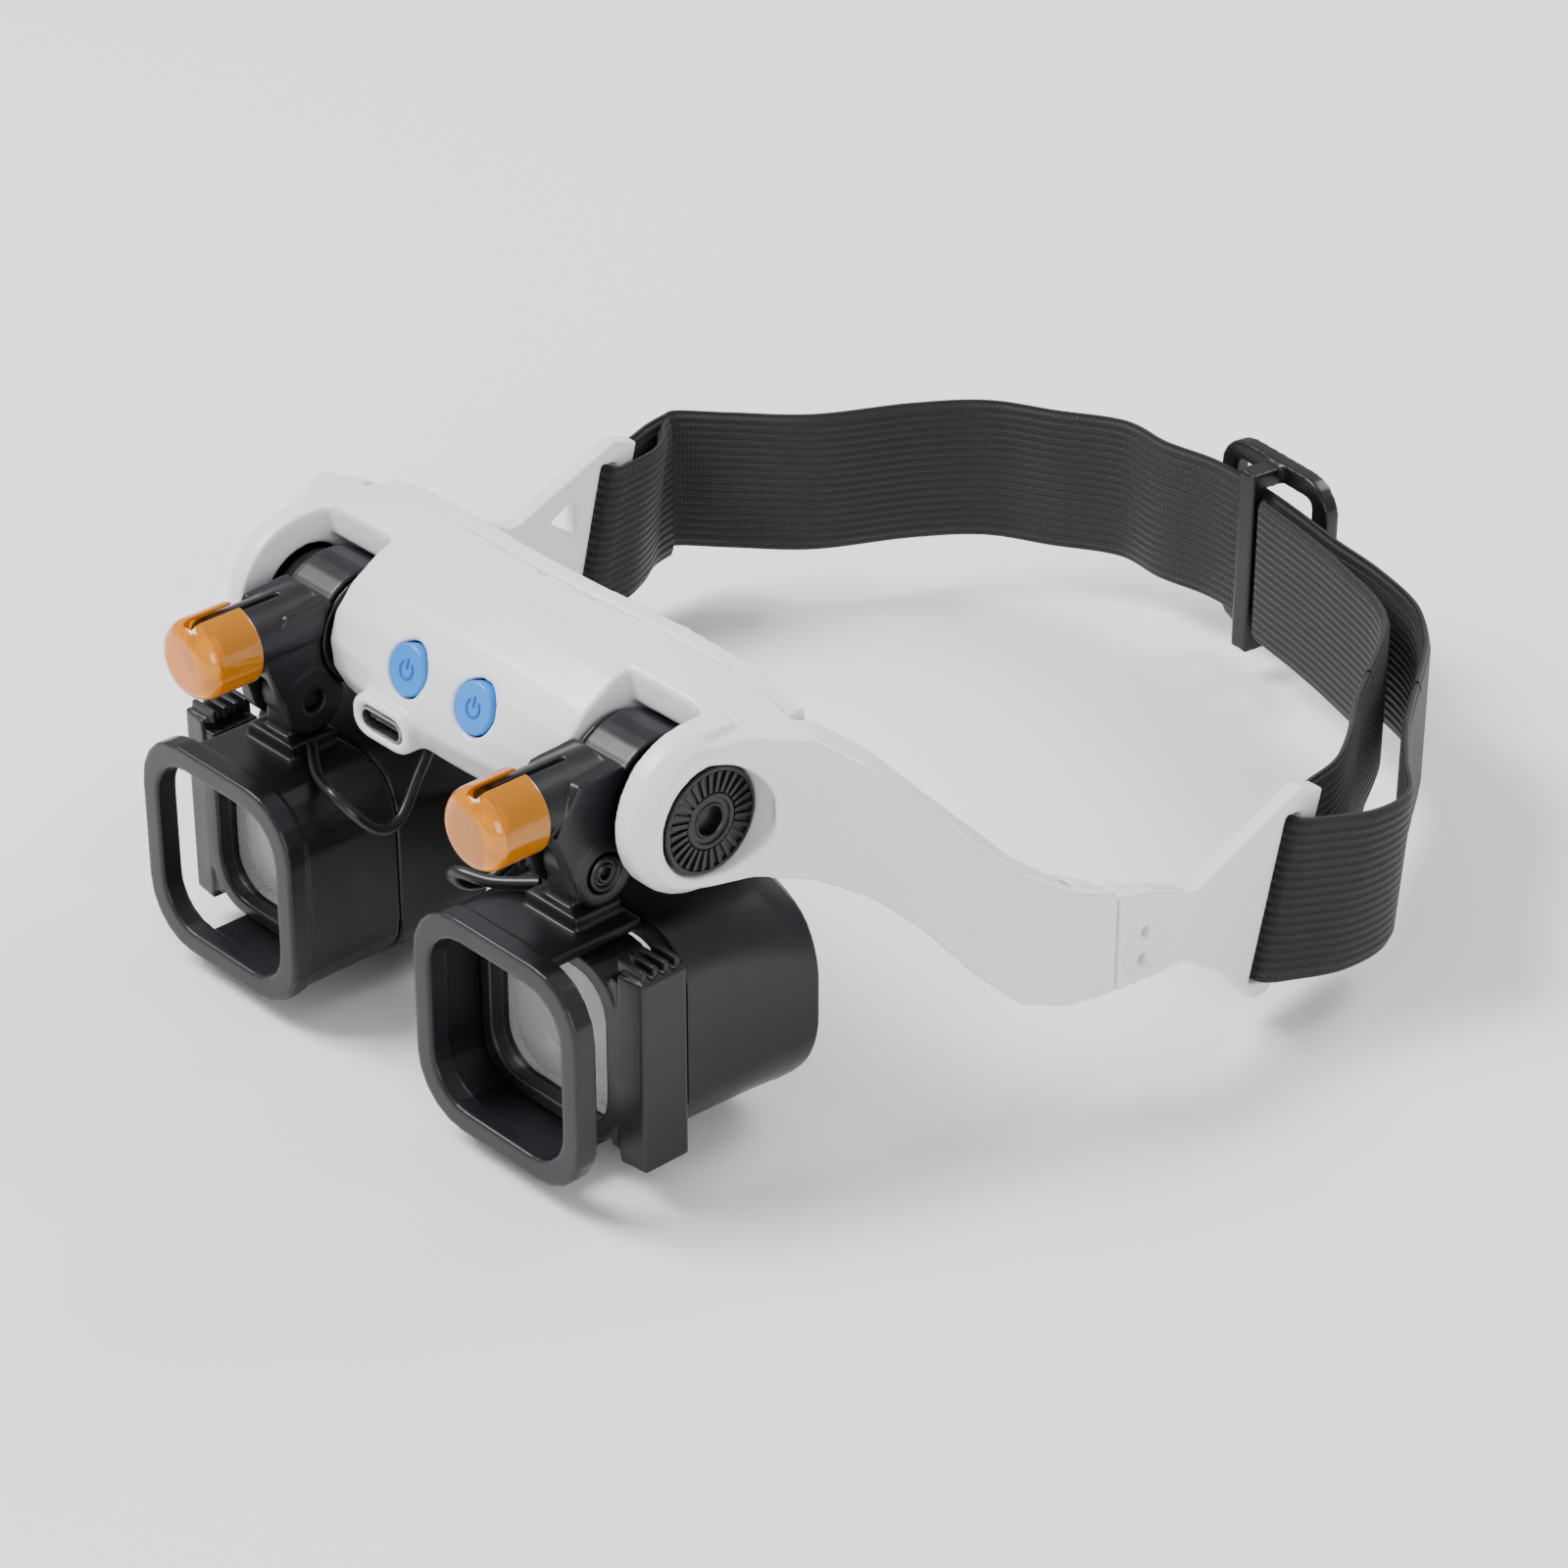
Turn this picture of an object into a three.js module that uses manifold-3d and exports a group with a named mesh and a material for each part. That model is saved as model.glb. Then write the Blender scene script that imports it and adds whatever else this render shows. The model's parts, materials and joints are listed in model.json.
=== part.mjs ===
// Head visor magnifier: a white browband housing with two flip-up eyepieces, two slip-on-cap
// lamps, a padded forehead rest and an elastic strap on two hinged strap arms.
//
// Millimetres, +Z up, -Y is the side the wearer looks towards, +X is one ear. Everything is
// drawn about the knob axis (the X axis of the drawing), and the whole group is then moved so
// that the origin is where the forehead touches the pad.
import * as THREE from 'three';
import { mergeVertices } from 'three/addons/utils/BufferGeometryUtils.js';
import Module from 'manifold-3d';

const wasm = await Module();
wasm.setup();

// ---- driving dimensions -------------------------------------------------------------------
const GAP = 0.3;                 // clearance between pieces that touch
const REST_Y = 13.5;             // pad surface behind the knob axis, on the centre line
const PAD_BOW = 0.0023;          // forehead curve: y grows by this times x squared
const PAD_LEAN = 0.1;            // the top of the pad leans back by this much per mm of height
const PAD_PROUD = 1.2;           // pad surface behind the cover's border
const COVER_THICKNESS = 3.2;
const PAD_THICKNESS = 2.6;

const BODY_HALF = 26.2;          // half width of the centre body, up to the notches
const NOTCH_OUTER = 41.8;        // where each notch ends and the knob boss begins
const NOTCH_BACK = 3.9;          // back wall of the notches
const BOSS_FACE = 47.6;          // outer face of the knob boss
const BOSS_RADIUS = 12.6;
const WALL = 2.2;

const KNOB_RADIUS = 8.2;
const KNOB_THICKNESS = 2.2;
const SCREW_RADIUS = 2.0;
const SLEEVE_RADIUS = 7.5;       // carriage tube on which the lamp arm turns
const HUB_RADIUS = 9.4;
const HUB_FROM = 28.3;
const HUB_TO = 37.4;
const PITCH_OF_EYES = 64;        // distance between the two optical axes at rest

const EYE_X = PITCH_OF_EYES / 2;
const EYE_Z = -33.2;
const RIM = { y: -27.0, depth: 3.6, width: 35.8, window: 28.4, radius: 9.5 };
const BARREL = { half: 17.2, wall: 1.8, back: -6.6, radius: 8.5 };
const CARTRIDGE = { front: -17.4, back: -8.2, half: 14.9, window: 25, radius: 7 };
const LENS_THICKNESS = 3.2;
const CUP = { nasal: 9.0, temple: 15.6, flare: 3.4, round: 4.4, wall: 1.8 };

const LUG = { y: -11.2, z: -8.0, radius: 5.2, from: 26.9, to: 38.2, slot: 6.2 };
const LAMP = { z: 3.4, radius: 5.3, from: -25.6, to: -8.4, cap: 6.25 };

const BUTTON = { x: 7.45, y: -10.4, z: 4.9, radius: 3.9, tilt: 18 };
const USB = { x: -10.0, z: -4.4, width: 8.94, height: 3.26, face: -12.6 };

const PIN = { x: 72.7, y: 43.75, radius: 1.0 };
const SEAM_Y = 50.2;             // where the strap arm leaves the elbow
const CLIP_X = 78.0;
const STRAP = { width: 25.5, thickness: 1.5 };
const STRAP_Z = -32.3;

// ---- geometry helpers ---------------------------------------------------------------------
/** A closed mesh as a solid that can be joined and cut. */
function toSolid(geometry) {
  const bare = geometry.clone();
  for (const name of Object.keys(bare.attributes)) {
    if (name !== 'position') bare.deleteAttribute(name);
  }
  const merged = mergeVertices(bare, 1e-4);
  return new wasm.Manifold(new wasm.Mesh({
    numProp: 3,
    vertProperties: new Float32Array(merged.attributes.position.array),
    triVerts: new Uint32Array(merged.index.array),
  }));
}

/** A solid back as a geometry for a mesh. */
function toGeometry(solid) {
  const mesh = solid.getMesh();
  const geometry = new THREE.BufferGeometry();
  geometry.setAttribute('position', new THREE.BufferAttribute(new Float32Array(mesh.vertProperties), 3));
  geometry.setIndex(new THREE.BufferAttribute(new Uint32Array(mesh.triVerts), 1));
  return geometry;
}

const join = (...solids) => solids.reduce((all, one) => all.add(one));
const cut = (solid, ...tools) => tools.reduce((left, tool) => left.subtract(tool), solid);
const mirrored = (solid) => solid.mirror([1, 0, 0]);

function block([x0, x1], [y0, y1], [z0, z1]) {
  const box = new THREE.BoxGeometry(x1 - x0, y1 - y0, z1 - z0);
  box.translate((x0 + x1) / 2, (y0 + y1) / 2, (z0 + z1) / 2);
  return toSolid(box);
}

/** A round bar or cone along X, Y or Z; centre holds the two coordinates across the axis. */
function rod(axis, [from, to], [u, v], radius, endRadius = radius, sides = 28) {
  const bar = new THREE.CylinderGeometry(endRadius, radius, to - from, sides);
  const middle = (from + to) / 2;
  if (axis === 'x') {
    bar.rotateZ(-Math.PI / 2);
    bar.translate(middle, u, v);
  } else if (axis === 'y') {
    bar.translate(u, middle, v);
  } else {
    bar.rotateX(Math.PI / 2);
    bar.translate(u, v, middle);
  }
  return toSolid(bar);
}

/** An outline extruded along an axis: (y, z) along X, (x, z) along Y, (x, y) along Z. */
function prism(axis, outline, [from, to]) {
  const shape = new THREE.Shape(outline.map(([u, v]) => new THREE.Vector2(u, v)));
  const body = new THREE.ExtrudeGeometry(shape, { depth: to - from, bevelEnabled: false });
  const turn = new THREE.Matrix4();
  if (axis === 'x') turn.set(0, 0, 1, from, 1, 0, 0, 0, 0, 1, 0, 0, 0, 0, 0, 1);
  else if (axis === 'y') turn.set(1, 0, 0, 0, 0, 0, -1, to, 0, 1, 0, 0, 0, 0, 0, 1);
  else turn.makeTranslation(0, 0, from);
  return toSolid(body.applyMatrix4(turn));
}

/** A rectangle with round corners, as a list of points. */
function roundRect(width, height, radius, cx = 0, cy = 0, steps = 5) {
  const points = [];
  const corners = [[1, 1, 0], [-1, 1, 90], [-1, -1, 180], [1, -1, 270]];
  for (const [sx, sy, start] of corners) {
    for (let i = 0; i <= steps; i++) {
      const a = THREE.MathUtils.degToRad(start + (90 * i) / steps);
      points.push([
        cx + sx * (width / 2 - radius) + radius * Math.cos(a),
        cy + sy * (height / 2 - radius) + radius * Math.sin(a),
      ]);
    }
  }
  return points;
}

/** Skins rings of points into a closed body; every ring has the same number of points. */
function loft(rings, capOutline) {
  const count = rings[0].length;
  const positions = rings.flat(2);
  const faces = [];
  for (let r = 0; r + 1 < rings.length; r++) {
    for (let i = 0; i < count; i++) {
      const a = r * count + i;
      const b = r * count + ((i + 1) % count);
      faces.push(a, b, a + count, b, b + count, a + count);
    }
  }
  const flat = capOutline.map(([u, v]) => new THREE.Vector2(u, v));
  const clockwise = THREE.ShapeUtils.isClockWise(flat);
  const last = (rings.length - 1) * count;
  for (const corners of THREE.ShapeUtils.triangulateShape(flat, [])) {
    const turned = THREE.ShapeUtils.isClockWise(corners.map((i) => flat[i]));
    const [a, b, c] = turned === clockwise ? corners : corners.reverse();
    faces.push(a, c, b, last + a, last + b, last + c);
  }
  const geometry = new THREE.BufferGeometry();
  geometry.setAttribute('position', new THREE.Float32BufferAttribute(positions, 3));
  geometry.setIndex(faces);
  const solid = toSolid(geometry);
  if (solid.volume() > 0) return solid;
  geometry.setIndex(faces.reverse());
  return toSolid(geometry);
}

/** A round cord along a smooth curve through points. */
function cord(points, radius, steps, sides = 8) {
  const circle = new THREE.Shape();
  for (let i = 0; i < sides; i++) {
    const a = (i / sides) * 2 * Math.PI;
    if (i === 0) circle.moveTo(radius, 0);
    else circle.lineTo(radius * Math.cos(a), radius * Math.sin(a));
  }
  const path = new THREE.CatmullRomCurve3(points.map((p) => new THREE.Vector3(...p)), false, 'centripetal');
  return toSolid(new THREE.ExtrudeGeometry(circle, { steps, extrudePath: path }));
}

/** A flat band standing on edge along [x, y, z, lean] points: z is its mid height, lean its slope. */
function band(points, width, thickness, steps) {
  const path = new THREE.CatmullRomCurve3(points.map(([x, y, z]) => new THREE.Vector3(x, y, z)), false,
    'centripetal');
  const rings = [];
  for (let i = 0; i <= steps; i++) {
    const at = path.getPoint(i / steps);
    const station = (i / steps) * (points.length - 1);
    const first = Math.min(Math.floor(station), points.length - 2);
    const lean = THREE.MathUtils.lerp(points[first][3] ?? 0, points[first + 1][3] ?? 0, station - first);
    const along = path.getTangent(i / steps).setZ(0).normalize();
    const side = new THREE.Vector3(along.y, -along.x, 0);
    rings.push([[0.5, -0.5], [0.5, 0.5], [-0.5, 0.5], [-0.5, -0.5]].map(([s, h]) => {
      const p = at.clone().addScaledVector(side, s * thickness);
      return [p.x, p.y + lean * h * width, p.z + h * width];
    }));
  }
  return loft(rings, [[0, 0], [1, 0], [1, 1], [0, 1]]);
}

/** Everything in front of the forehead curve moved forward by `back`, down to y = -40. */
function beforeCurve(back, half = 60, steps = 24) {
  const outline = [[half, -40], [-half, -40]];
  for (let i = 0; i <= steps; i++) {
    const x = -half + (2 * half * i) / steps;
    outline.push([x, REST_Y + PAD_BOW * x * x - back]);
  }
  const slab = new THREE.Shape(outline.map(([u, v]) => new THREE.Vector2(u, v)));
  const body = new THREE.ExtrudeGeometry(slab, { depth: 80, bevelEnabled: false });
  body.translate(0, 0, -40);
  body.applyMatrix4(new THREE.Matrix4().set(1, 0, 0, 0, 0, 1, PAD_LEAN, 0, 0, 0, 1, 0, 0, 0, 0, 1));
  return toSolid(body);
}

/** Both halves of an outline given on its +X side from top to bottom. */
const bothSides = (half) => [...half, ...half.slice().reverse().map(([x, z]) => [-x, z])];

// ---- the white housing --------------------------------------------------------------------
const SHELL_HALF = [[14, 17.0], [26, 16.4], [35, 15.2], [42, 13.4], [47.4, 10.8], [47.4, -11.6], [40, -13.2], [34, -12.0],
  [27, -12.0], [18, -14.2], [12, -17.0], [8.8, -19.6], [8.4, -22.6]];
const PAD_HALF = [[8, 12.6], [17, 11.4], [26.2, 9.6], [26.6, 11.6], [42.0, 8.0], [41.0, -11.2],
  [34, -10.0], [27, -10.0], [18, -12.0], [11, -15.0], [7.2, -17.4], [6.8, -20.6]];

/** An outline moved outwards by a distance all round, corner by corner. */
function grown(outline, by) {
  const sign = THREE.ShapeUtils.isClockWise(outline.map(([u, v]) => new THREE.Vector2(u, v))) ? 1 : -1;
  const count = outline.length;
  return outline.map(([u, v], i) => {
    const [pu, pv] = outline[(i + count - 1) % count];
    const [nu, nv] = outline[(i + 1) % count];
    const into = new THREE.Vector2(u - pu, v - pv).normalize();
    const out = new THREE.Vector2(nu - u, nv - v).normalize();
    const normal = new THREE.Vector2(-(into.y + out.y), into.x + out.x).normalize();
    const reach = (sign * by) / Math.max(0.3, normal.dot(new THREE.Vector2(-into.y, into.x)));
    return [u + normal.x * reach, v + normal.y * reach];
  });
}

/** Nose profile of the centre body at a station; full is 1 in the middle and 0 at the ends. */
function noseRing(x, full, shrink = 0) {
  const profile = [[5, 14.4 + 0.6 * full], [1, 12.9 + 0.9 * full], [-4, 9.8 + 1.2 * full],
    [-7.4 - 0.8 * full, 6.1 + 1.0 * full], [-8.7 - 1.9 * full, 2.0], [-8.3 - 2.6 * full, -2.6],
    [-6.2 - 2.6 * full, -6.6 - 0.6 * full], [-3.2 - 2.0 * full, -9.8 - 0.8 * full],
    [1, -11.2 - 1.0 * full], [5, -11.6 - 1.2 * full]];
  return profile.map(([y, z]) => [x, y + (y < 4 ? shrink : 0), z - Math.sign(z) * shrink]);
}

function noseBody(half, shrink) {
  const rings = [];
  const stations = 8;
  for (let i = 0; i <= stations; i++) {
    const t = -1 + (2 * i) / stations;
    rings.push(noseRing(t * half, 1 - t * t, shrink));
  }
  return loft(rings, noseRing(0, 0, shrink).map(([, y, z]) => [y, z]));
}

/** Stations of an arm: outer face x and y, lower and upper edge, how deep its lips reach in. */
const ARM_STATIONS = [
  { x: 47.6, y: -1.0, low: -10.6, high: 11.4, lip: 5.2 },
  { x: 49.8, y: 5.5, low: -10.6, high: 12.2, lip: 7.4 },
  { x: 55.0, y: 12.5, low: -11.7, high: 11.2, lip: 7.6 },
  { x: 60.0, y: 18.0, low: -14.4, high: 6.6, lip: 7.4 },
  { x: 65.0, y: 23.4, low: -19.6, high: 0.4, lip: 7.0 },
  { x: 70.0, y: 29.5, low: -27.8, high: -6.0, lip: 6.6 },
  { x: 74.0, y: 35.0, low: -33.2, high: -11.4, lip: 7.2 },
  { x: 76.6, y: 42.0, low: -35.2, high: -15.6, lip: 7.4, wall: 1.3 },
  { x: 77.9, y: SEAM_Y - GAP, low: -35.6, high: -18.6, lip: 7.6, wall: 1.3 },
];

function armSolid(inset = 0) {
  const rings = ARM_STATIONS.map((s, i) => {
    const before = ARM_STATIONS[Math.max(i - 1, 0)];
    const after = ARM_STATIONS[Math.min(i + 1, ARM_STATIONS.length - 1)];
    const along = new THREE.Vector2(after.x - before.x, after.y - before.y).normalize();
    const end = i === 0 || i === ARM_STATIONS.length - 1;
    const inward = end ? new THREE.Vector2(-1, 0) : new THREE.Vector2(-along.y, along.x);
    const depth = (d) => [s.x + inward.x * d, s.y + inward.y * d];
    const [low, high] = [s.low + inset, s.high - inset];
    const near = inset ? s.wall ?? WALL : 0;
    const far = inset ? s.lip + 6 : s.lip;
    const fall = inset || i === 0 ? 0 : 1.0;
    return [[...depth(near), low], [...depth(near), high], [...depth(far), high - fall],
      [...depth(far), low + fall]];
  });
  return loft(rings, [[0, 0], [0, 1], [1, 1], [1, 0]]);
}

function housingShell() {
  const sideProfile = [[NOTCH_BACK, 13.9], [9, 15.9], [14, 17.6], [26, 17.6], [26, -24], [9.5, -24],
    [5.4, -16], [NOTCH_BACK, -11.8]];
  const rear = PAD_PROUD + COVER_THICKNESS + GAP;
  const slab = prism('y', bothSides(SHELL_HALF), [NOTCH_BACK, 26])
    .intersect(prism('x', sideProfile, [-60, 60]));
  const boss = join(
    rod('x', [NOTCH_OUTER, BOSS_FACE - 2.4], [-0.3, 0.8], BOSS_RADIUS),
    rod('x', [BOSS_FACE - 2.4, BOSS_FACE], [-0.3, 0.8], BOSS_RADIUS, BOSS_RADIUS - 1.8),
    prism('x', [[0, -11.6], [6, -11.6], [6, 13.2], [0, 13.4]], [NOTCH_OUTER, BOSS_FACE - 1.2]),
  );
  const knobSeat = join(
    rod('x', [BOSS_FACE - KNOB_THICKNESS - GAP, BOSS_FACE + 4], [0, 0], KNOB_RADIUS + 0.4),
    rod('x', [NOTCH_OUTER - 1, BOSS_FACE], [0, 0], SLEEVE_RADIUS + 0.4),
  );
  const arm = cut(armSolid(), cut(armSolid(2.0), block([0, 50], [-20, 9], [-40, 40])));
  const side = join(boss, arm);

  const hubRoom = (extra) => rod('x', [BODY_HALF - extra, NOTCH_OUTER + extra], [0, 0],
    HUB_RADIUS + 0.4 + extra, HUB_RADIUS + 0.4 + extra, 48);
  const hollow = prism('y', grown(bothSides(SHELL_HALF), -WALL), [NOTCH_BACK + WALL, 26])
    .intersect(prism('x', [[6, 12.6], [9, 13.8], [14, 15.2], [26, 15.2], [26, -22], [11.5, -22],
      [7.4, -14.2], [6, -10.2]], [-60, 60]));
  const inside = cut(hollow, hubRoom(1.0), mirrored(hubRoom(1.0)));
  const noseInside = cut(noseBody(BODY_HALF - WALL, WALL), block([-40, 40], [4.9, 40], [-40, 40]));
  const journals = join(...[1, -1].map((s) => rod('x', s > 0 ? [18, 30] : [-30, -18], [0, 0],
    SCREW_RADIUS + GAP)));
  const buttonHoles = join(...[1, -1].map((s) => tilted(
    rod('y', [-6, 8], [0, 0], BUTTON.radius + GAP), s)));
  const usbLip = prism('y', roundRect(USB.width + 4.2, USB.height + 3.6, 3, USB.x, USB.z), [USB.face, -4]);
  const usbHole = prism('y', roundRect(USB.width + 0.6, USB.height + 0.6, 1.9, USB.x, USB.z),
    [USB.face - 1, 2]);
  const leadHoles = join(...[1, -1].map((s) => block([s * 20 - 1.6, s * 20 + 1.6], [1.4, 5.2], [-15, -7])));
  const trimmed = join(slab, side, mirrored(side)).intersect(join(beforeCurve(rear), block([47.7, 100],
    [-40, 100], [-60, 60]), block([-100, -47.7], [-40, 100], [-60, 60])));
  const hollowed = cut(join(trimmed, noseBody(BODY_HALF, 0), usbLip), inside, noseInside,
    block([-BODY_HALF + WALL + 2, BODY_HALF - WALL - 2], [0, 8], [-9.2, 10.6]));
  const posts = join(...SCREW_SPOTS.map(([x, z]) => rod('y', [0, 16], [x, z], 3.0, 3.0, 24)))
    .intersect(beforeCurve(rear));
  const bites = SCREW_SPOTS.map(([x, z]) => rod('y', [1, 20], [x, z], 1.1 + GAP, 1.1 + GAP, 16));
  return cut(join(hollowed, posts), journals, buttonHoles, usbHole, leadHoles, ...bites,
    knobSeat, mirrored(knobSeat), hubRoom(0), mirrored(hubRoom(0)),
    ...[1, -1].map((s) => rod('z', [-50, 0], [s * PIN.x, PIN.y], PIN.radius + GAP, PIN.radius + GAP, 16)));
}

/** Tips a button-shaped tool to the slope of the nose and puts it in its place. */
function tilted(solid, side) {
  const turn = new THREE.Matrix4().makeRotationX(THREE.MathUtils.degToRad(-BUTTON.tilt));
  turn.setPosition(side * BUTTON.x, BUTTON.y, BUTTON.z);
  return solid.transform(turn.elements);
}

function rearCover() {
  const plate = prism('y', grown(bothSides(SHELL_HALF), -0.5), [4, 30]);
  const back = beforeCurve(PAD_PROUD);
  const front = beforeCurve(PAD_PROUD + COVER_THICKNESS);
  const pocket = cut(prism('y', grown(bothSides(PAD_HALF), GAP), [4, 40]),
    beforeCurve(PAD_THICKNESS + GAP));
  const screwHoles = SCREW_SPOTS.map(([x, z]) => rod('y', [4, 24], [x, z], 1.1 + GAP, 1.1 + GAP, 16));
  return cut(plate.intersect(back), front, pocket, ...screwHoles);
}

function foreheadPad() {
  const sheet = prism('y', bothSides(PAD_HALF), [4, 40]).intersect(beforeCurve(0));
  return cut(sheet, beforeCurve(PAD_THICKNESS));
}

const SCREW_SPOTS = [[21.4, 6.6], [-21.4, 6.6], [21.4, -6.6], [-21.4, -6.6]];

/** A short pan-head screw that holds the rear cover, its head under the pad. */
function coverScrew([x, z]) {
  const face = REST_Y + PAD_BOW * x * x + PAD_LEAN * z - PAD_THICKNESS - GAP;
  return rod('y', [face - 7.6, face - 0.5], [x, z], 1.1, 1.1, 16);
}

function noseBridge() {
  const plate = prism('y', [[9.6, -24.2], [8.2, -33], [11.4, -43], [10.0, -46], [4.6, -40.6],
    [3.4, -36.4], [-3.4, -36.4], [-4.6, -40.6], [-10.0, -46], [-11.4, -43], [-8.2, -33], [-9.6, -24.2]],
  [7.2, 9.8]);
  const window = prism('y', [[3.4, -33.4], [3.0, -29.6], [-3.0, -29.6], [-3.4, -33.4]], [0, 20]);
  const hook = block([-6.4, 6.4], [7.2, 9.6], [-24.6, -23.1]);
  const pads = [1, -1].map((s) => {
    const rings = [0, 1, 2, 3].map((i) => {
      const t = i / 3;
      const half = [2.4, 4.6, 4.8, 2.6][i];
      const cz = -39.5 - 9.0 * t;
      const cx = s * (8.4 + 2.6 * t);
      return roundRect(1.8, half * 2, 0.85, 0, 0, 2).map(([u, v]) => [cx + u, 12 + v, cz]);
    });
    return loft(rings, roundRect(1.8, 5, 0.85, 0, 0, 2));
  });
  const legs = [1, -1].map((s) => block(s > 0 ? [7.6, 10.4] : [-10.4, -7.6], [8.4, 13], [-44.0, -40.4]));
  return join(cut(plate, window), hook, ...legs, ...pads);
}

// ---- electronics --------------------------------------------------------------------------
function usbShell() {
  const outer = prism('y', roundRect(USB.width, USB.height, 1.5, USB.x, USB.z), [USB.face + 0.3, -5.6]);
  const hollow = prism('y', roundRect(USB.width - 0.6, USB.height - 0.6, 1.2, USB.x, USB.z),
    [USB.face - 1, -6.4]);
  return cut(outer, hollow);
}

const usbTongue = () => block([USB.x - 3.35, USB.x + 3.35], [USB.face + 1.2, -6.7], [USB.z - 0.35, USB.z + 0.35]);

const circuitBoard = () => block([-15.6, 15.6], [-1.6, -0.4], [-7.2, 8.0]);

const batteryCell = () => toSolid(toGeometry(prism('y', roundRect(30, 15, 1.6, 0, 0.6, 2), [0.2, 5.4])));

function tactSwitch(side) {
  const can = block([side * BUTTON.x - 2.2, side * BUTTON.x + 2.2], [-4.0, -1.9], [2.0, 6.2]);
  return join(can, rod('y', [-4.8, -3.6], [side * BUTTON.x, 4.1], 1.1, 1.1, 12));
}

function button(side) {
  const cap = rod('y', [0.7, 3.4], [0, 0], BUTTON.radius);
  const stem = rod('y', [3.2, 5.0], [0, 0], 1.2, 1.2, 12);
  return tilted(join(cap, stem), side);
}

// ---- one side's moving parts, drawn on the +X side ------------------------------------------
function knob() {
  const disc = rod('x', [BOSS_FACE - KNOB_THICKNESS, BOSS_FACE + 0.2], [0, 0], KNOB_RADIUS);
  const grooves = [];
  const count = 24;
  for (let i = 0; i < count; i++) {
    const rib = new THREE.BoxGeometry(1.2, 3.0, 0.55);
    rib.translate(BOSS_FACE + 0.5, 5.9, 0);
    rib.rotateX((2 * Math.PI * i) / count);
    grooves.push(toSolid(rib));
  }
  return cut(disc, ...grooves, rod('x', [BOSS_FACE - 0.9, BOSS_FACE + 1], [0, 0], 2.0, 2.0, 6));
}

const leadScrew = () => join(
  rod('x', [21.4, BOSS_FACE - KNOB_THICKNESS - GAP], [0, 0], SCREW_RADIUS, SCREW_RADIUS, 24),
  rod('x', [20.2, 21.6], [0, 0], 3.2, 3.2, 24));

function carriage() {
  const tube = rod('x', [27.2, 41.4], [0, 0], SLEEVE_RADIUS);
  const inner = rod('x', [27.2, 28.0], [0, 0], 9.0);
  const outer = rod('x', [37.7, 38.3], [0, 0], 8.8);
  return cut(join(tube, inner, outer), rod('x', [20, 50], [0, 0], SCREW_RADIUS + GAP));
}

function lampArm() {
  const hub = rod('x', [HUB_FROM, HUB_TO], [0, 0], HUB_RADIUS);
  const tube = rod('y', [LAMP.from, LAMP.to], [EYE_X, LAMP.z], LAMP.radius);
  const lug = rod('x', [LUG.from, LUG.to], [LUG.y, LUG.z], LUG.radius);
  const cheek = prism('x', [[-7.2, 7.6], [-15.2, 7.2], [-19.4, 0.4], [-16.3, -8.6], [-11.6, -13.1],
    [-6.4, -10.0], [-4.6, -4.0]], [LUG.from + 0.2, LUG.to - 0.4]);
  const slot = block([EYE_X - LUG.slot / 2, EYE_X + LUG.slot / 2], [-18.6, -4.4], [-16, -2.6]);
  const bore = rod('x', [20, 50], [0, 0], SLEEVE_RADIUS + GAP);
  const pivot = rod('x', [20, 50], [LUG.y, LUG.z], 1.5 + GAP, 1.5 + GAP, 16);
  const recess = rod('x', [LUG.to - 1.0, 50], [LUG.y, LUG.z], 3.1, 3.1, 24);
  const socket = rod('y', [LAMP.from - 1, LAMP.from + 6], [EYE_X, LAMP.z], 3.0, 3.0, 20);
  const slit = block([EYE_X - 0.5, EYE_X + 0.5], [-30, -13], [LAMP.z + 4.2, LAMP.z + 8]);
  const room = join(rod('x', [20, HUB_FROM], [0, 0], 9.3), rod('x', [HUB_TO, 50], [0, 0], 9.3));
  return cut(join(hub, tube, lug, cheek), bore, slot, pivot, recess, socket, slit, room);
}

const lampLed = () => join(rod('y', [LAMP.from + 1.2, LAMP.from + 5.6], [EYE_X, LAMP.z], 2.5, 2.5, 20),
  rod('y', [LAMP.from - 0.9, LAMP.from + 1.4], [EYE_X, LAMP.z], 1.2, 2.5, 20));

function lampCap() {
  const skirt = rod('y', [-28.4, -20.6], [EYE_X, LAMP.z], LAMP.cap);
  const dome = rod('y', [-30.8, -28.4], [EYE_X, LAMP.z], LAMP.cap - 2.2, LAMP.cap);
  const hollow = rod('y', [-28.2, -20], [EYE_X, LAMP.z], LAMP.radius + 0.35);
  const key = block([EYE_X - 1.0, EYE_X + 1.0], [-28.6, -20], [LAMP.z + 3, LAMP.z + 9]);
  return cut(join(skirt, dome), hollow, key);
}

const pivotScrew = () => join(
  rod('x', [LUG.from + 1.2, LUG.to - 0.6], [LUG.y, LUG.z], 1.5, 1.5, 16),
  rod('x', [LUG.to - 0.7, LUG.to + 0.2], [LUG.y, LUG.z], 2.8, 2.8, 24));

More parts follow.
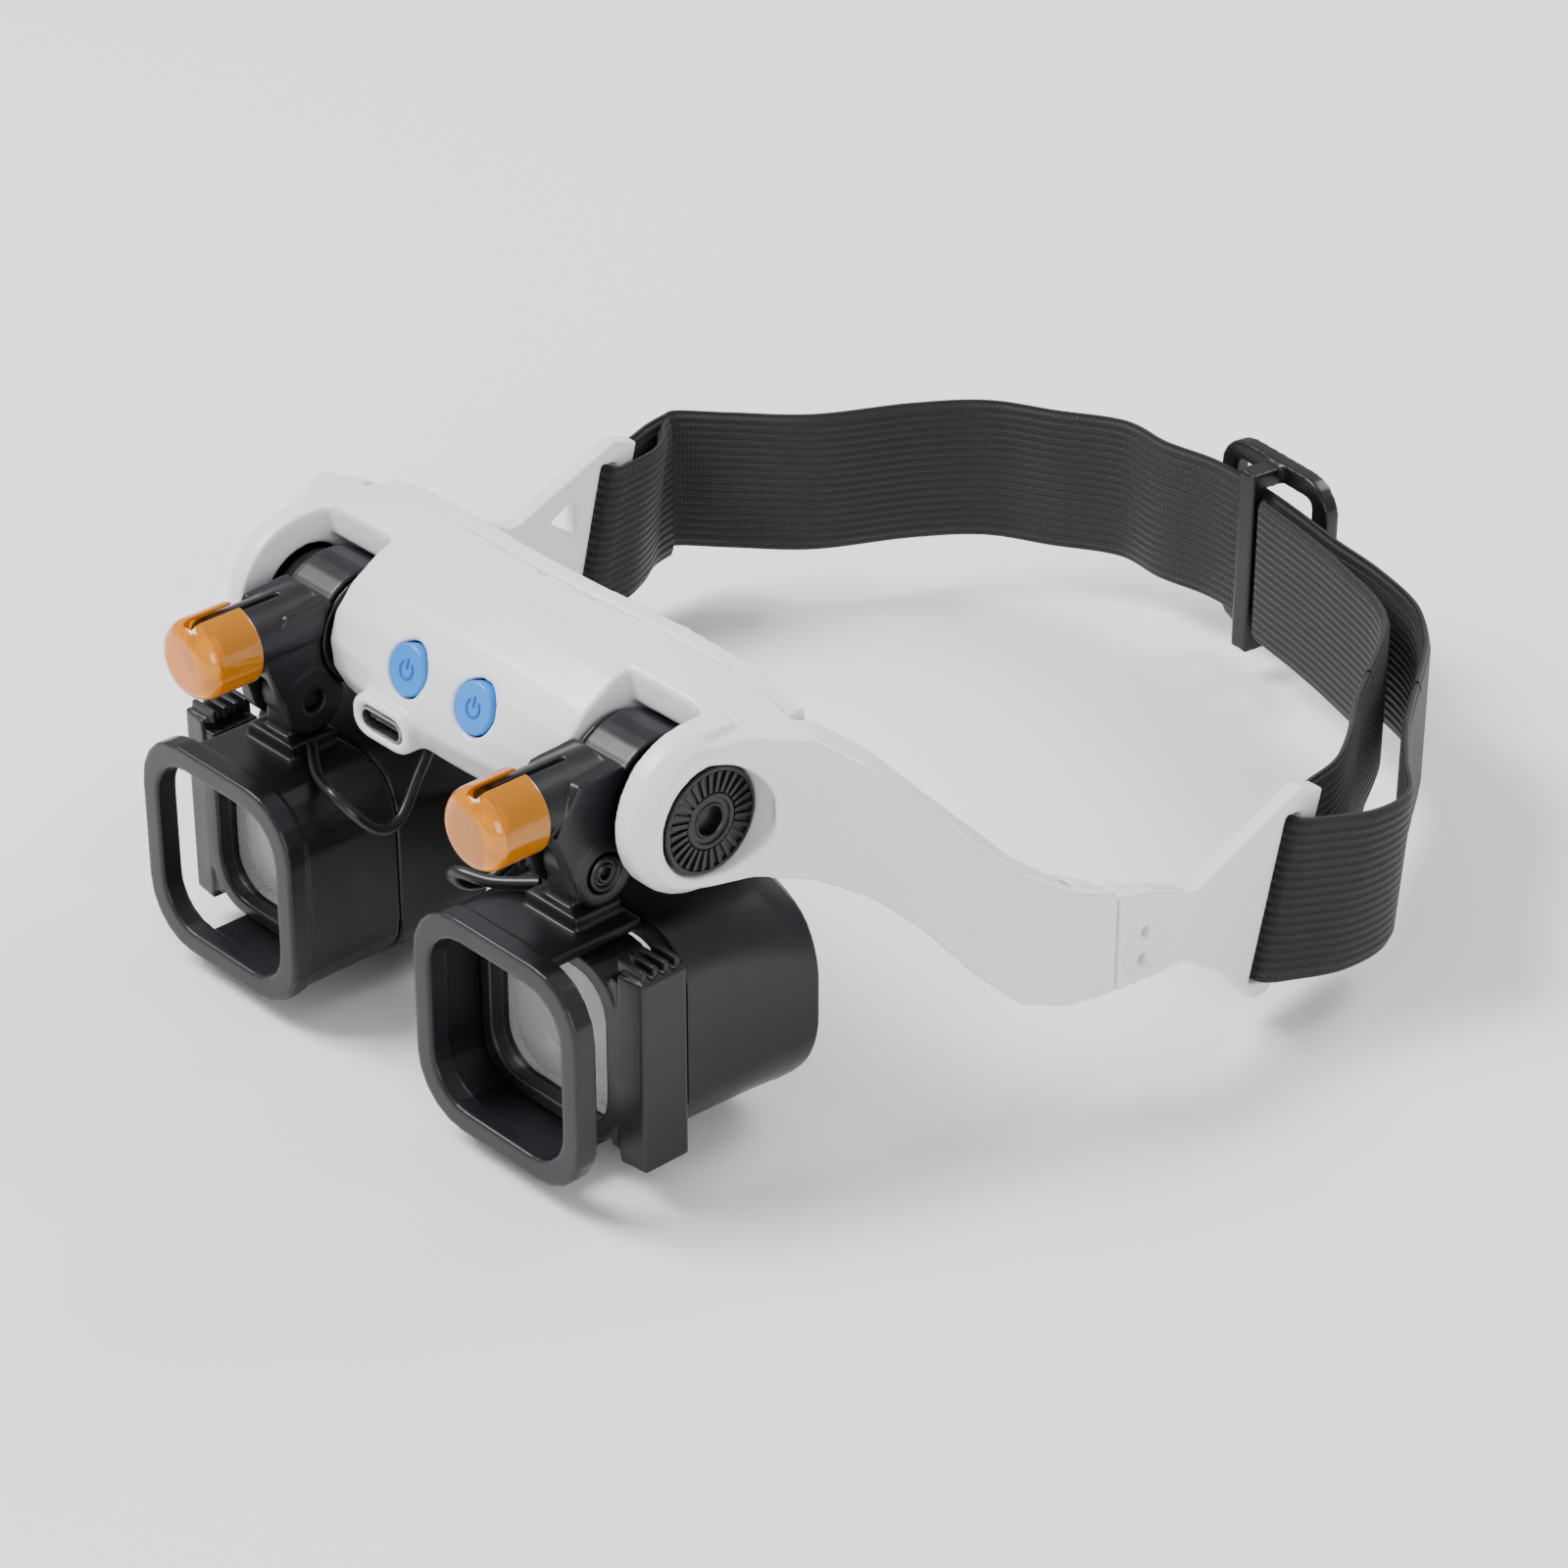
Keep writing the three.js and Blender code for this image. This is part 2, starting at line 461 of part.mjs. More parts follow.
/** The hood: front rim, nasal, top and bottom walls, and the tongue that hangs it from the lug. */
function barrel() {
  const place = (size, radius, span) => prism('y', roundRect(size, size, radius, EYE_X, EYE_Z), span);
  const rim = place(RIM.width, RIM.radius, [RIM.y, RIM.y + RIM.depth]);
  const body = place(BARREL.half * 2, BARREL.radius, [RIM.y + 1, BARREL.back]);
  const bore = place(BARREL.half * 2 - 2 * BARREL.wall, BARREL.radius - 1.6, [RIM.y - 2, 4]);
  const lip = cut(place(RIM.width - 1, RIM.radius, [RIM.y, RIM.y + RIM.depth]),
    place(RIM.window, 7, [RIM.y - 2, 4]));
  const gap = block([EYE_X + 8.5, 70], [RIM.y + RIM.depth, BARREL.back + 1], [EYE_Z - 30, EYE_Z + 30]);
  const tongue = join(
    rod('x', [EYE_X - 2.8, EYE_X + 2.8], [LUG.y, LUG.z], 4.2, 4.2, 24),
    block([EYE_X - 2.8, EYE_X + 2.8], [LUG.y - 3.4, LUG.y + 3.4], [EYE_Z + BARREL.half - 1, LUG.z]));
  const shoulder = block([EYE_X - 5.4, EYE_X + 5.4], [LUG.y - 5, LUG.y + 3.6],
    [EYE_Z + BARREL.half - 1, EYE_Z + BARREL.half + 2.2]);
  const hood = join(cut(join(rim, body), bore, gap), lip);
  return cut(join(hood, cut(join(tongue, shoulder), place(BARREL.half * 2 - 1, BARREL.radius, [-40, 4]))),
    rod('x', [0, 60], [LUG.y, LUG.z], 1.5 + GAP, 1.5 + GAP, 16));
}

/** The flared shade behind the lens: longer on the temple side. */
function eyecup() {
  const ring = (grow, soft, y0, y1, steps = 6) => {
    const half = BARREL.half + grow;
    const cx = EYE_X + 0.15 * grow;
    return roundRect(2 * half, 2 * half - 0.9 * grow, BARREL.radius + grow + soft, cx, EYE_Z, steps)
      .map(([x, z]) => [x, y0 + (y1 - y0) * THREE.MathUtils.clamp((x - 14) / 36, 0, 1), z]);
  };
  const skin = (inset) => loft([0, 0.35, 0.7, 1].map((t) => ring(CUP.flare * t * t - inset, CUP.round * t * t,
    BARREL.back + GAP + (CUP.nasal - BARREL.back) * t + (t === 1 && inset ? 1 : 0),
    BARREL.back + GAP + (CUP.temple - BARREL.back) * t + (t === 1 && inset ? 1 : 0))), ring(0, 0, 0, 0)
    .map(([x, , z]) => [x, z]));
  const window = prism('y', roundRect(26, 26, 7, EYE_X, EYE_Z), [-20, 20]);
  const inner = cut(skin(CUP.wall), block([0, 80], [-20, BARREL.back + 2.4], [-80, 10]));
  return cut(skin(0), inner, window);
}

/** Frame of the exchangeable lens, with its ribbed grip on the temple side. */
function lensFrame() {
  const c = CARTRIDGE;
  const ring = prism('y', roundRect(c.half * 2, c.half * 2, c.radius, EYE_X, EYE_Z), [c.front, c.back]);
  const window = prism('y', roundRect(c.window, c.window, 6, EYE_X, EYE_Z), [-30, 0]);
  const seat = prism('y', roundRect(c.window + 2, c.window + 2, 6.6, EYE_X, EYE_Z),
    [-14.6 - GAP, -14.6 + LENS_THICKNESS + GAP]);
  const grip = prism('z', [[47.2, c.front], [52.2, c.front + 0.6], [52.2, c.back - 0.6], [47.2, c.back]],
    [EYE_Z - 15.6, EYE_Z + 15.6]);
  const ribs = [0, 1, 2, 3].map((i) => block([46.0, 51.4], [c.front + 1.2 + 2.0 * i, c.front + 2.2 + 2.0 * i],
    [EYE_Z + 15, EYE_Z + 17.2]));
  const bridge = block([45, 48.4], [c.front + 0.4, c.back - 0.4], [EYE_Z - 14, EYE_Z + 14]);
  return cut(join(ring, cut(join(bridge, grip, ...ribs), rod('y', [-40, 10], [EYE_X, EYE_Z], 15.2))),
    window, seat);
}

const lensPane = () => prism('y', roundRect(CARTRIDGE.window + 1.4, CARTRIDGE.window + 1.4, 6.3, EYE_X, EYE_Z),
  [-14.6, -14.6 + LENS_THICKNESS]);

const LEAD_ROUTE = [[26.0, -13.0, -14.4], [20.0, -16.6, -15.4], [14.4, -18.2, -15.6], [11.0, -17.0, -18.0],
  [10.2, -13.4, -21.6], [10.8, -9.0, -21.8], [12.6, -4.0, -17.4], [14.0, 0.2, -13.6]];
const lampLead = () => cord(LEAD_ROUTE, 0.9, 22);

// ---- strap arms -----------------------------------------------------------------------------
/** Strap arm: neck with a latch window, then the triangle whose back bar carries the strap. */
function strapArm(open) {
  const inner = CLIP_X - 3.4;
  const neck = prism('x', [[SEAM_Y, -19.2], [57, -21.2], [63.5, -24.0], [66, -27], [66, -36.2], [58, -36.2],
    [SEAM_Y, -35.4]], [inner - 0.4, CLIP_X]);
  const web = prism('x', [[62, -24.2], [67, -25.0], [88.0, -16.6], [92.6, -18.4], [90.9, -24.6], [83.4, -49.6],
    [79.6, -49.8], [73, -42.4], [64, -36.2]], [inner, CLIP_X]);
  const knuckle = join(
    rod('z', [-31.3, -22.0], [PIN.x, PIN.y], 2.0, 2.0, 24),
    block([PIN.x - 2.0, PIN.x + 1.9], [PIN.y, SEAM_Y + 4], [-31.3, -22.0]),
    block([PIN.x - 2.0, inner + 1], [SEAM_Y, SEAM_Y + 6], [-31.3, -22.0]));
  const slot = prism('x', [[84.9, -20.3], [88.3, -20.9], [82.0, -47.4], [78.6, -46.6]], [0, 100]);
  const latch = prism('x', [[52.4, -25.2], [58.3, -26.6], [60.9, -31], [57.4, -34.4], [51.6, -33.6]],
    [CLIP_X - 1.0, 100]);
  const eyes = [[57, -28.6], [56.4, -33.0]].map(([y, z]) => rod('x', [0, 100], [y, z], 0.9, 0.9, 12));
  const triangle = prism('x', [[73.4, -27.2], [79.3, -24.4], [79.0, -31.2]], [0, 100]);
  const pinHole = rod('z', [-50, 0], [PIN.x, PIN.y], PIN.radius + GAP, PIN.radius + GAP, 16);
  const plain = cut(join(neck, web, knuckle), slot, latch, ...eyes, pinHole);
  return open ? cut(plain, triangle) : plain;
}

const hingePin = () => rod('z', [-34.8, -15.2], [PIN.x, PIN.y], PIN.radius, PIN.radius, 16);

// ---- strap ------------------------------------------------------------------------------------
const BACK_ROUTE = [[-81.5, 106.0], [-73.6, 113.0], [-64.0, 122.6], [-56.0, 137.6], [-48.2, 147.8],
  [-37.6, 153.6], [-27.0, 159.4], [-17.0, 158.8], [-6.6, 160.0], [5.0, 158.6], [15.0, 156.4],
  [26.0, 153.4], [36.4, 151.2], [48.2, 146.9], [56.2, 140.2], [60.2, 135.2], [63.6, 130.0]];
const RETURN_ROUTE = [[10.6, 154.2], [20.4, 151.6], [31.0, 148.2], [44.0, 143.0], [50.6, 137.0], [55.4, 129.6]];
const BAR_LEAN = 0.25;
const LOOP_LEFT = [[-81.2, 104.9, -32.4], [-80.6, 98.6, -32.6, 0.1], [-79.3, 91.4, -33.0, BAR_LEAN],
  [-79.2, 86.2, -33.6, BAR_LEAN], [-79.0, 84.5, -33.8, BAR_LEAN], [-77.9, 83.5, -33.8, BAR_LEAN],
  [-74.6, 83.5, -33.8, BAR_LEAN], [-73.5, 84.7, -33.8, BAR_LEAN], [-73.4, 86.6, -33.6, BAR_LEAN], [-73.3, 91.6, -33.0, BAR_LEAN], [-75.4, 96.4, -32.8, 0.2],
  [-78.2, 100.0, -32.6, 0.1], [-79.3, 103.4, -32.6]];
const LOOP_RIGHT = [[64.9, 128.2, -32.6], [71.4, 118.6, -32.9], [78.4, 109.8, -33.2, 0.05],
  [84.2, 102.8, -33.6, 0.12], [84.4, 94.4, -33.8, 0.2], [80.8, 86.8, -33.8, BAR_LEAN],
  [79.4, 84.5, -33.8, BAR_LEAN], [77.9, 83.5, -33.8, BAR_LEAN], [74.6, 83.5, -33.8, BAR_LEAN],
  [73.2, 84.8, -33.8, BAR_LEAN], [72.9, 87.0, -33.8, BAR_LEAN], [72.0, 93.4, -33.8, 0.2],
  [70.8, 102.0, -33.6, 0.12], [66.8, 110.6, -33.2, 0.05], [61.6, 118.4, -32.8], [57.6, 125.4, -32.6]];

/** The strap end folded round the back bar of the left arm and sewn to itself. */
const leftLoop = () => band(LOOP_LEFT, STRAP.width, STRAP.thickness, 36);

/** The loose loop round the back bar of the right arm. */
const rightLoop = () => band(LOOP_RIGHT, STRAP.width, STRAP.thickness, 44);

const level = (route) => route.map(([x, y]) => [x, y, STRAP_Z]);
const strapBack = () => band(level(BACK_ROUTE), STRAP.width, STRAP.thickness, 44);

/** Second layer of strap, on the inside, from the slider to the loop. */
const strapReturn = () => band(level(RETURN_ROUTE), STRAP.width, STRAP.thickness, 14);

/** Three-bar slider: its frame behind the strap, its middle bar in front, turned to the strap. */
function strapSlider() {
  const plate = prism('y', roundRect(27, 34, 6), [2.2, 5.0]);
  const opening = prism('y', roundRect(19, 27, 1.5), [-10, 20]);
  const ends = [13.4, -16.4].map((z) => block([-2, 2], [-3.6, 3.0], [z, z + 3.0]));
  const middle = block([-2, 2], [-3.6, -1.5], [-14, 14]);
  return join(cut(plate, opening), middle, ...ends).rotate([0, 0, -8]).translate([5, 158.6, STRAP_Z]);
}

// ---- assembly -----------------------------------------------------------------------------------
const FINISH = {
  white: { color: 0xeeedf0, roughness: 0.35, metalness: 0 },
  black: { color: 0x1b1d22, roughness: 0.5, metalness: 0 },
  rubber: { color: 0x24262b, roughness: 0.8, metalness: 0 },
  blue: { color: 0x3d9be8, roughness: 0.45, metalness: 0 },
  amber: { color: 0xff9a10, roughness: 0.2, metalness: 0, transparent: true, opacity: 0.8 },
  clear: { color: 0xeef6fa, roughness: 0.03, metalness: 0, transparent: true, opacity: 0.3 },
  steel: { color: 0xb9bcc2, roughness: 0.3, metalness: 1 },
  board: { color: 0x1f5d3a, roughness: 0.6, metalness: 0 },
  cell: { color: 0xaeb4bd, roughness: 0.4, metalness: 0.4 },
  lamp: { color: 0xf6f0cf, roughness: 0.2, metalness: 0 },
  elastic: { color: 0x15161b, roughness: 0.95, metalness: 0 },
};

const visor = new THREE.Group();
visor.position.set(0, -REST_Y, 0);

function add(name, finish, solid) {
  const mesh = new THREE.Mesh(toGeometry(solid), new THREE.MeshStandardMaterial(FINISH[finish]));
  mesh.name = name;
  visor.add(mesh);
}

/** A piece and its mirror image: right is +X, left is -X. */
function addPair(name, finish, solid) {
  add(`${name}_right`, finish, solid);
  add(`${name}_left`, finish, mirrored(solid));
}

add('housing_shell', 'white', housingShell());
add('rear_cover', 'white', rearCover());
add('forehead_pad', 'rubber', foreheadPad());
add('nose_bridge', 'black', noseBridge());
add('usb_shell', 'steel', usbShell());
add('usb_tongue', 'black', usbTongue());
add('circuit_board', 'board', circuitBoard());
add('battery', 'cell', batteryCell());
SCREW_SPOTS.forEach((spot, i) => add(`cover_screw_${i + 1}`, 'steel', coverScrew(spot)));
for (const [name, side] of [['right', 1], ['left', -1]]) {
  add(`tact_switch_${name}`, 'steel', tactSwitch(side));
  add(`button_${name}`, 'blue', button(side));
  add(`strap_arm_${name}`, 'white', side > 0 ? strapArm(false) : mirrored(strapArm(true)));
}
addPair('knob', 'black', knob());
addPair('lead_screw', 'steel', leadScrew());
addPair('carriage', 'black', carriage());
addPair('lamp_arm', 'black', lampArm());
addPair('lamp_led', 'lamp', lampLed());
addPair('lamp_cap', 'amber', lampCap());
addPair('lamp_lead', 'rubber', lampLead());
addPair('pivot_screw', 'black', pivotScrew());
addPair('barrel', 'black', barrel());
addPair('eyecup', 'black', eyecup());
addPair('lens_frame', 'black', lensFrame());
addPair('lens', 'clear', lensPane());
addPair('hinge_pin', 'steel', hingePin());
add('strap_loop_left', 'elastic', leftLoop());
add('strap_loop_right', 'elastic', rightLoop());
add('strap_back', 'elastic', strapBack());
add('strap_return', 'elastic', strapReturn());
add('strap_slider', 'black', strapSlider());

export default visor;
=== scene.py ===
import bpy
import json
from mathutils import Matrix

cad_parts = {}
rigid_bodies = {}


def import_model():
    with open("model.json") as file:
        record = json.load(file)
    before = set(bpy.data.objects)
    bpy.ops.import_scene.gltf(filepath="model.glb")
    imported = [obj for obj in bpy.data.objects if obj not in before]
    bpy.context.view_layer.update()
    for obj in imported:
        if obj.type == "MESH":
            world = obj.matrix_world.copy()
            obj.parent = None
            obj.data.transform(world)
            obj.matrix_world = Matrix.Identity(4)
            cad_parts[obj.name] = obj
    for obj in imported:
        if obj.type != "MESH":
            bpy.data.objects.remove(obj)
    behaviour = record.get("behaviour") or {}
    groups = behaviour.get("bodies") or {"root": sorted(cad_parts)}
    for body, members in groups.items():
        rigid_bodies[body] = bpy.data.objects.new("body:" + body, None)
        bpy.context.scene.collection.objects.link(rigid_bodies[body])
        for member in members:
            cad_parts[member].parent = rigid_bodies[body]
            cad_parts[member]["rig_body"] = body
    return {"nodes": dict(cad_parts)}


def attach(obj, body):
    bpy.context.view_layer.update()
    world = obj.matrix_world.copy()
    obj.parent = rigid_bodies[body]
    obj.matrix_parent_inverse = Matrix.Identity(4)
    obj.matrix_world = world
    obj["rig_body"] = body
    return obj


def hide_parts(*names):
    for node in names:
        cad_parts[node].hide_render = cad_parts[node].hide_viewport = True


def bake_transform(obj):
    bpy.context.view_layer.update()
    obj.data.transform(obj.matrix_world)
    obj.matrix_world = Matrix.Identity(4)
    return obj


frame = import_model()

"""Looks of a head visor magnifier: a white brow housing that carries two hooded lenses, two
amber-capped lamps, a studded forehead pad and an elastic strap on two folding arms.

Sizes are in the millimetres of the maker's drawing, whose origin is the knob axis; the function
place() turns them into metres in the frame of the finished object.
"""
import json
import logging
import math
from dataclasses import dataclass, field
from enum import Enum
from typing import Sequence

import bmesh
import bpy
from mathutils import Matrix, Vector

LOG = logging.getLogger("visor")
MM = 0.001
REST_Y = 13.5
PAD_BOW = 0.0023
PAD_LEAN = 0.1
DOUBLED = 1e-7
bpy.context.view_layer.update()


def place(x: float, y: float, z: float) -> Vector:
    """A point of the drawing, in metres in the object's frame."""
    return Vector((x, y - REST_Y, z)) * MM


def pad_depth(x: float, z: float) -> float:
    """How far back the forehead pad's surface lies at a place on it, in drawing millimetres."""
    return REST_Y + PAD_BOW * x * x + PAD_LEAN * z


class Side(Enum):
    """The two sides of the visor: the value is the sign of X."""

    RIGHT = 1
    LEFT = -1

    @property
    def label(self) -> str:
        """The ending that this side's pieces and bodies carry in their names."""
        return self.name.lower()


# ---- finishes ------------------------------------------------------------------------------


class Nodes:
    """A short way to wire up one material's nodes."""

    def __init__(self, name: str) -> None:
        """Starts a material that holds only a shader and an output.

        Args:
            name: the material's name.
        """
        self.material = bpy.data.materials.new(name)
        self.material.use_nodes = True
        self.tree = self.material.node_tree
        self.shader = self.tree.nodes["Principled BSDF"]

    def add(self, kind: str, **settings: object) -> bpy.types.Node:
        """Adds a node and sets its properties.

        Args:
            kind: the node's type, such as "ShaderNodeTexNoise".
            **settings: properties of the node.

        Returns:
            The new node.
        """
        node = self.tree.nodes.new(kind)
        for key, value in settings.items():
            setattr(node, key, value)
        return node

    def link(self, source: bpy.types.NodeSocket, target: bpy.types.NodeSocket) -> None:
        """Joins an output socket to an input socket."""
        self.tree.links.new(source, target)

    def noise(self, scale: float, detail: float = 2.0) -> bpy.types.NodeSocket:
        """A noise field in the object's own coordinates.

        Args:
            scale: features per metre.
            detail: how many finer layers it has.

        Returns:
            The socket with the field's value.
        """
        coordinates = self.add("ShaderNodeTexCoord")
        texture = self.add("ShaderNodeTexNoise")
        texture.inputs["Scale"].default_value = scale
        texture.inputs["Detail"].default_value = detail
        self.link(coordinates.outputs["Object"], texture.inputs["Vector"])
        return texture.outputs["Fac"]

    def spread(self, value: bpy.types.NodeSocket, low: float, high: float) -> bpy.types.NodeSocket:
        """Turns a field from 0.3..0.7 into a wanted range.

        Args:
            value: the field.
            low: what 0.3 becomes.
            high: what 0.7 becomes.

        Returns:
            The socket with the new range.
        """
        ranged = self.add("ShaderNodeMapRange")
        ranged.inputs["From Min"].default_value = 0.3
        ranged.inputs["From Max"].default_value = 0.7
        ranged.inputs["To Min"].default_value = low
        ranged.inputs["To Max"].default_value = high
        self.link(value, ranged.inputs["Value"])
        return ranged.outputs["Result"]

    def math(self, operation: str, first: object, second: object = 0.0) -> bpy.types.NodeSocket:
        """Works out one operation on two values, each a socket or a number.

        Args:
            operation: the Math node's operation.
            first: the first value.
            second: the second value.

        Returns:
            The socket with the result.
        """
        node = self.add("ShaderNodeMath", operation=operation)
        for socket, value in zip(node.inputs, (first, second)):
            if isinstance(value, bpy.types.NodeSocket):
                self.link(value, socket)
            else:
                socket.default_value = float(value)
        return node.outputs[0]

    def tint(self, factor: bpy.types.NodeSocket, low: Sequence[float], high: Sequence[float]) -> None:
        """Colours the shader between two colours by a field.

        Args:
            factor: the field, from 0 to 1.
            low: the colour at 0.
            high: the colour at 1.
        """
        mix = self.add("ShaderNodeMix", data_type="RGBA")
        mix.inputs["A"].default_value = (*low, 1.0)
        mix.inputs["B"].default_value = (*high, 1.0)
        self.link(factor, mix.inputs["Factor"])
        self.link(mix.outputs["Result"], self.shader.inputs["Base Color"])

    def relief(self, height: bpy.types.NodeSocket, depth: float) -> None:
        """Raises the surface by a field.

        Args:
            height: the field.
            depth: how tall a height of 1 stands, in metres.
        """
        bump = self.add("ShaderNodeBump")
        bump.inputs["Distance"].default_value = depth
        bump.inputs["Strength"].default_value = 1.0
        self.link(height, bump.inputs["Height"])
        self.link(bump.outputs["Normal"], self.shader.inputs["Normal"])

    def fixed(self, **values: float) -> None:
        """Sets the shader's own sockets, named with underscores for spaces."""
        for key, value in values.items():
            self.shader.inputs[key.replace("_", " ")].default_value = value


@dataclass(frozen=True)
class Moulding:
    """Moulded plastic or rubber: a base colour that drifts a little, and a fine eroded grain."""

    name: str
    slot: str
    colour: tuple[float, float, float]
    drift: float = 0.06
    roughness: float = 0.4
    unevenness: float = 0.05
    grain: float = 2600.0
    grain_depth: float = 0.00001
    coat: float = 0.0
    specular: float = 0.5
    subsurface: float = 0.0
    transmission: float = 0.0
    metallic: float = 0.0
    index: float = 1.49

    def material(self) -> bpy.types.Material:
        """The finish as a material, made once.

        Returns:
            The material.
        """
        if self.name in bpy.data.materials:
            return bpy.data.materials[self.name]
        nodes = Nodes(self.name)
        dark = [c * (1 - self.drift) for c in self.colour]
        light = [min(1.0, c * (1 + self.drift)) for c in self.colour]
        nodes.tint(nodes.spread(nodes.noise(45.0, 3.0), 0.0, 1.0), dark, light)
        wear = nodes.spread(nodes.noise(160.0, 4.0), self.roughness - self.unevenness,
                            self.roughness + self.unevenness)
        nodes.link(wear, nodes.shader.inputs["Roughness"])
        if self.grain_depth:
            nodes.relief(nodes.noise(self.grain, 2.0), self.grain_depth)
        nodes.fixed(Metallic=self.metallic, Coat_Weight=self.coat, Coat_Roughness=0.12,
                    Specular_IOR_Level=self.specular, Transmission_Weight=self.transmission,
                    Subsurface_Weight=self.subsurface, Subsurface_Scale=0.002, IOR=self.index)
        return nodes.material


@dataclass(frozen=True)
class Webbing:
    """Ribbed woven elastic, whose ribs run along the strap."""

    name: str = "ribbed_elastic"
    slot: str = "elastic"
    # colour: the elastic's black, also used as painted shade down in the grooves between ribs
    colour: tuple[float, float, float] = (0.0022, 0.0024, 0.0036)
    # thread: the lighter colour, painted light on the raised rib tops rather than a second thread colour
    thread: tuple[float, float, float] = (0.013, 0.014, 0.018)
    rib: float = 0.00142
    pick: float = 0.0007

    def material(self) -> bpy.types.Material:
        """The finish as a material, made once.

        Returns:
            The material.
        """
        if self.name in bpy.data.materials:
            return bpy.data.materials[self.name]
        nodes = Nodes(self.name)
        coordinates = nodes.add("ShaderNodeTexCoord")
        parts = nodes.add("ShaderNodeSeparateXYZ")
        nodes.link(coordinates.outputs["UV"], parts.inputs["Vector"])
        along, across = parts.outputs["X"], parts.outputs["Y"]
        rib = nodes.math("SINE", nodes.math("MULTIPLY", across, 2 * math.pi / self.rib))
        shift = nodes.math("MULTIPLY", rib, 0.9)
        beat = nodes.math("MULTIPLY", along, 2 * math.pi / self.pick)
        pick = nodes.math("SINE", nodes.math("ADD", beat, shift))
        ribs = nodes.math("MULTIPLY", nodes.math("ADD", rib, 1.0), 0.5)
        picks = nodes.math("MULTIPLY", nodes.math("ADD", pick, 1.0), 0.5)
        height = nodes.math("ADD", nodes.math("MULTIPLY", ribs, 0.85), nodes.math("MULTIPLY", picks, 0.15))
        fuzz = nodes.noise(3500.0, 3.0)
        height = nodes.math("ADD", height, nodes.math("MULTIPLY", fuzz, 0.35))
        stretch = nodes.spread(nodes.noise(28.0, 2.0), -0.18, 0.18)
        # painted shade and painted light: grooves coloured darker and raised rib tops lighter by the relief
        # height; the stretch noise adds real random tone
        factor = nodes.add("ShaderNodeClamp")
        nodes.link(nodes.math("ADD", nodes.math("MULTIPLY", height, 0.7), stretch), factor.inputs["Value"])
        nodes.tint(factor.outputs["Result"], self.colour, self.thread)
        nodes.relief(height, 0.00036)
        nodes.fixed(Roughness=0.62, Specular_IOR_Level=0.4, Sheen_Weight=0.06, Sheen_Roughness=0.4)
        return nodes.material


WHITE = Moulding("white_shell", "white_plastic", (0.74, 0.735, 0.775), 0.012, 0.30, 0.03, 900.0, 0.000004,
                 coat=0.08)
CHARCOAL = Moulding("charcoal_plastic", "black_plastic", (0.0055, 0.0060, 0.0080), 0.12, 0.36, 0.05, 2600.0,
                    0.00001, specular=0.42)
HUB_BLACK = Moulding("hub_plastic", "black_plastic", (0.0045, 0.0048, 0.0062), 0.12, 0.34, 0.06, 1800.0,
                     0.00001, specular=0.42)
SOFT_BLACK = Moulding("soft_rubber", "soft_rubber", (0.009, 0.0095, 0.011), 0.12, 0.62, 0.06, 1500.0, 0.00003,
                      specular=0.35)
LEAD_BLACK = Moulding("lead_sheath", "soft_rubber", (0.006, 0.0065, 0.008), 0.10, 0.34, 0.05, 1200.0, 0.00001)
BUTTON_BLUE = Moulding("button_blue", "blue_plastic", (0.012, 0.21, 0.70), 0.05, 0.42, 0.05, 2200.0, 0.00001)
BUTTON_MARK = Moulding("button_mark", "blue_plastic", (0.004, 0.09, 0.36), 0.05, 0.46, 0.05, 2200.0, 0.00001)
AMBER = Moulding("amber_cap", "amber", (0.95, 0.38, 0.0), 0.04, 0.12, 0.03, 500.0, 0.000003, coat=0.2,
                 transmission=0.72)
PORT_STEEL = Moulding("port_steel", "port_metal", (0.62, 0.60, 0.56), 0.05, 0.28, 0.06, 2500.0, 0.000004,
                      metallic=1.0)
SCREW_STEEL = Moulding("screw_steel", "screw_steel", (0.50, 0.50, 0.52), 0.06, 0.32, 0.08, 3200.0, 0.000006,
                       metallic=1.0)
BOARD_GREEN = Moulding("board_green", "board", (0.012, 0.12, 0.05), 0.15, 0.45, 0.08, 900.0, 0.00001)
CELL_FOIL = Moulding("cell_foil", "cell", (0.52, 0.54, 0.58), 0.05, 0.33, 0.08, 300.0, 0.00003, metallic=0.8)
LAMP_RESIN = Moulding("lamp_resin", "lamp", (0.90, 0.82, 0.42), 0.05, 0.12, 0.03, 600.0, 0.000004,
                      subsurface=0.2)
THREAD = Moulding("sewing_thread", "elastic", (0.035, 0.036, 0.042), 0.2, 0.75, 0.08, 4000.0, 0.00002)
CLEAR = Moulding("lens_clear", "lens_clear", (0.97, 0.985, 1.0), 0.004, 0.01, 0.01, 300.0, 0.0,
                 transmission=1.0, index=1.2)
ELASTIC = Webbing()


# ---- mesh tools ------------------------------------------------------------------------------


def new_piece(name: str, points: Sequence[Vector], faces: Sequence[Sequence[int]],
              smooth: float = 35.0) -> bpy.types.Object:
    """Makes a mesh piece with soft shading below an angle.

    Args:
        name: the piece's name.
        points: its points, in metres in the object's frame.
        faces: point numbers of each face.
        smooth: edges sharper than this many degrees stay crisp.

    Returns:
        The new object, at the origin.
    """
    mesh = bpy.data.meshes.new(name)
    mesh.from_pydata([tuple(p) for p in points], [], [tuple(f) for f in faces])
    mesh.validate()
    piece = bpy.data.objects.new(name, mesh)
    bpy.context.scene.collection.objects.link(piece)
    tidy_normals(piece)
    soften(piece, smooth)
    return piece


def tidy_normals(piece: bpy.types.Object) -> None:
    """Merges doubled points and turns every face outwards.

    Args:
        piece: the mesh piece.
    """
    work = bmesh.new()
    work.from_mesh(piece.data)
    bmesh.ops.remove_doubles(work, verts=work.verts, dist=DOUBLED)
    bmesh.ops.recalc_face_normals(work, faces=work.faces)
    work.to_mesh(piece.data)
    work.free()


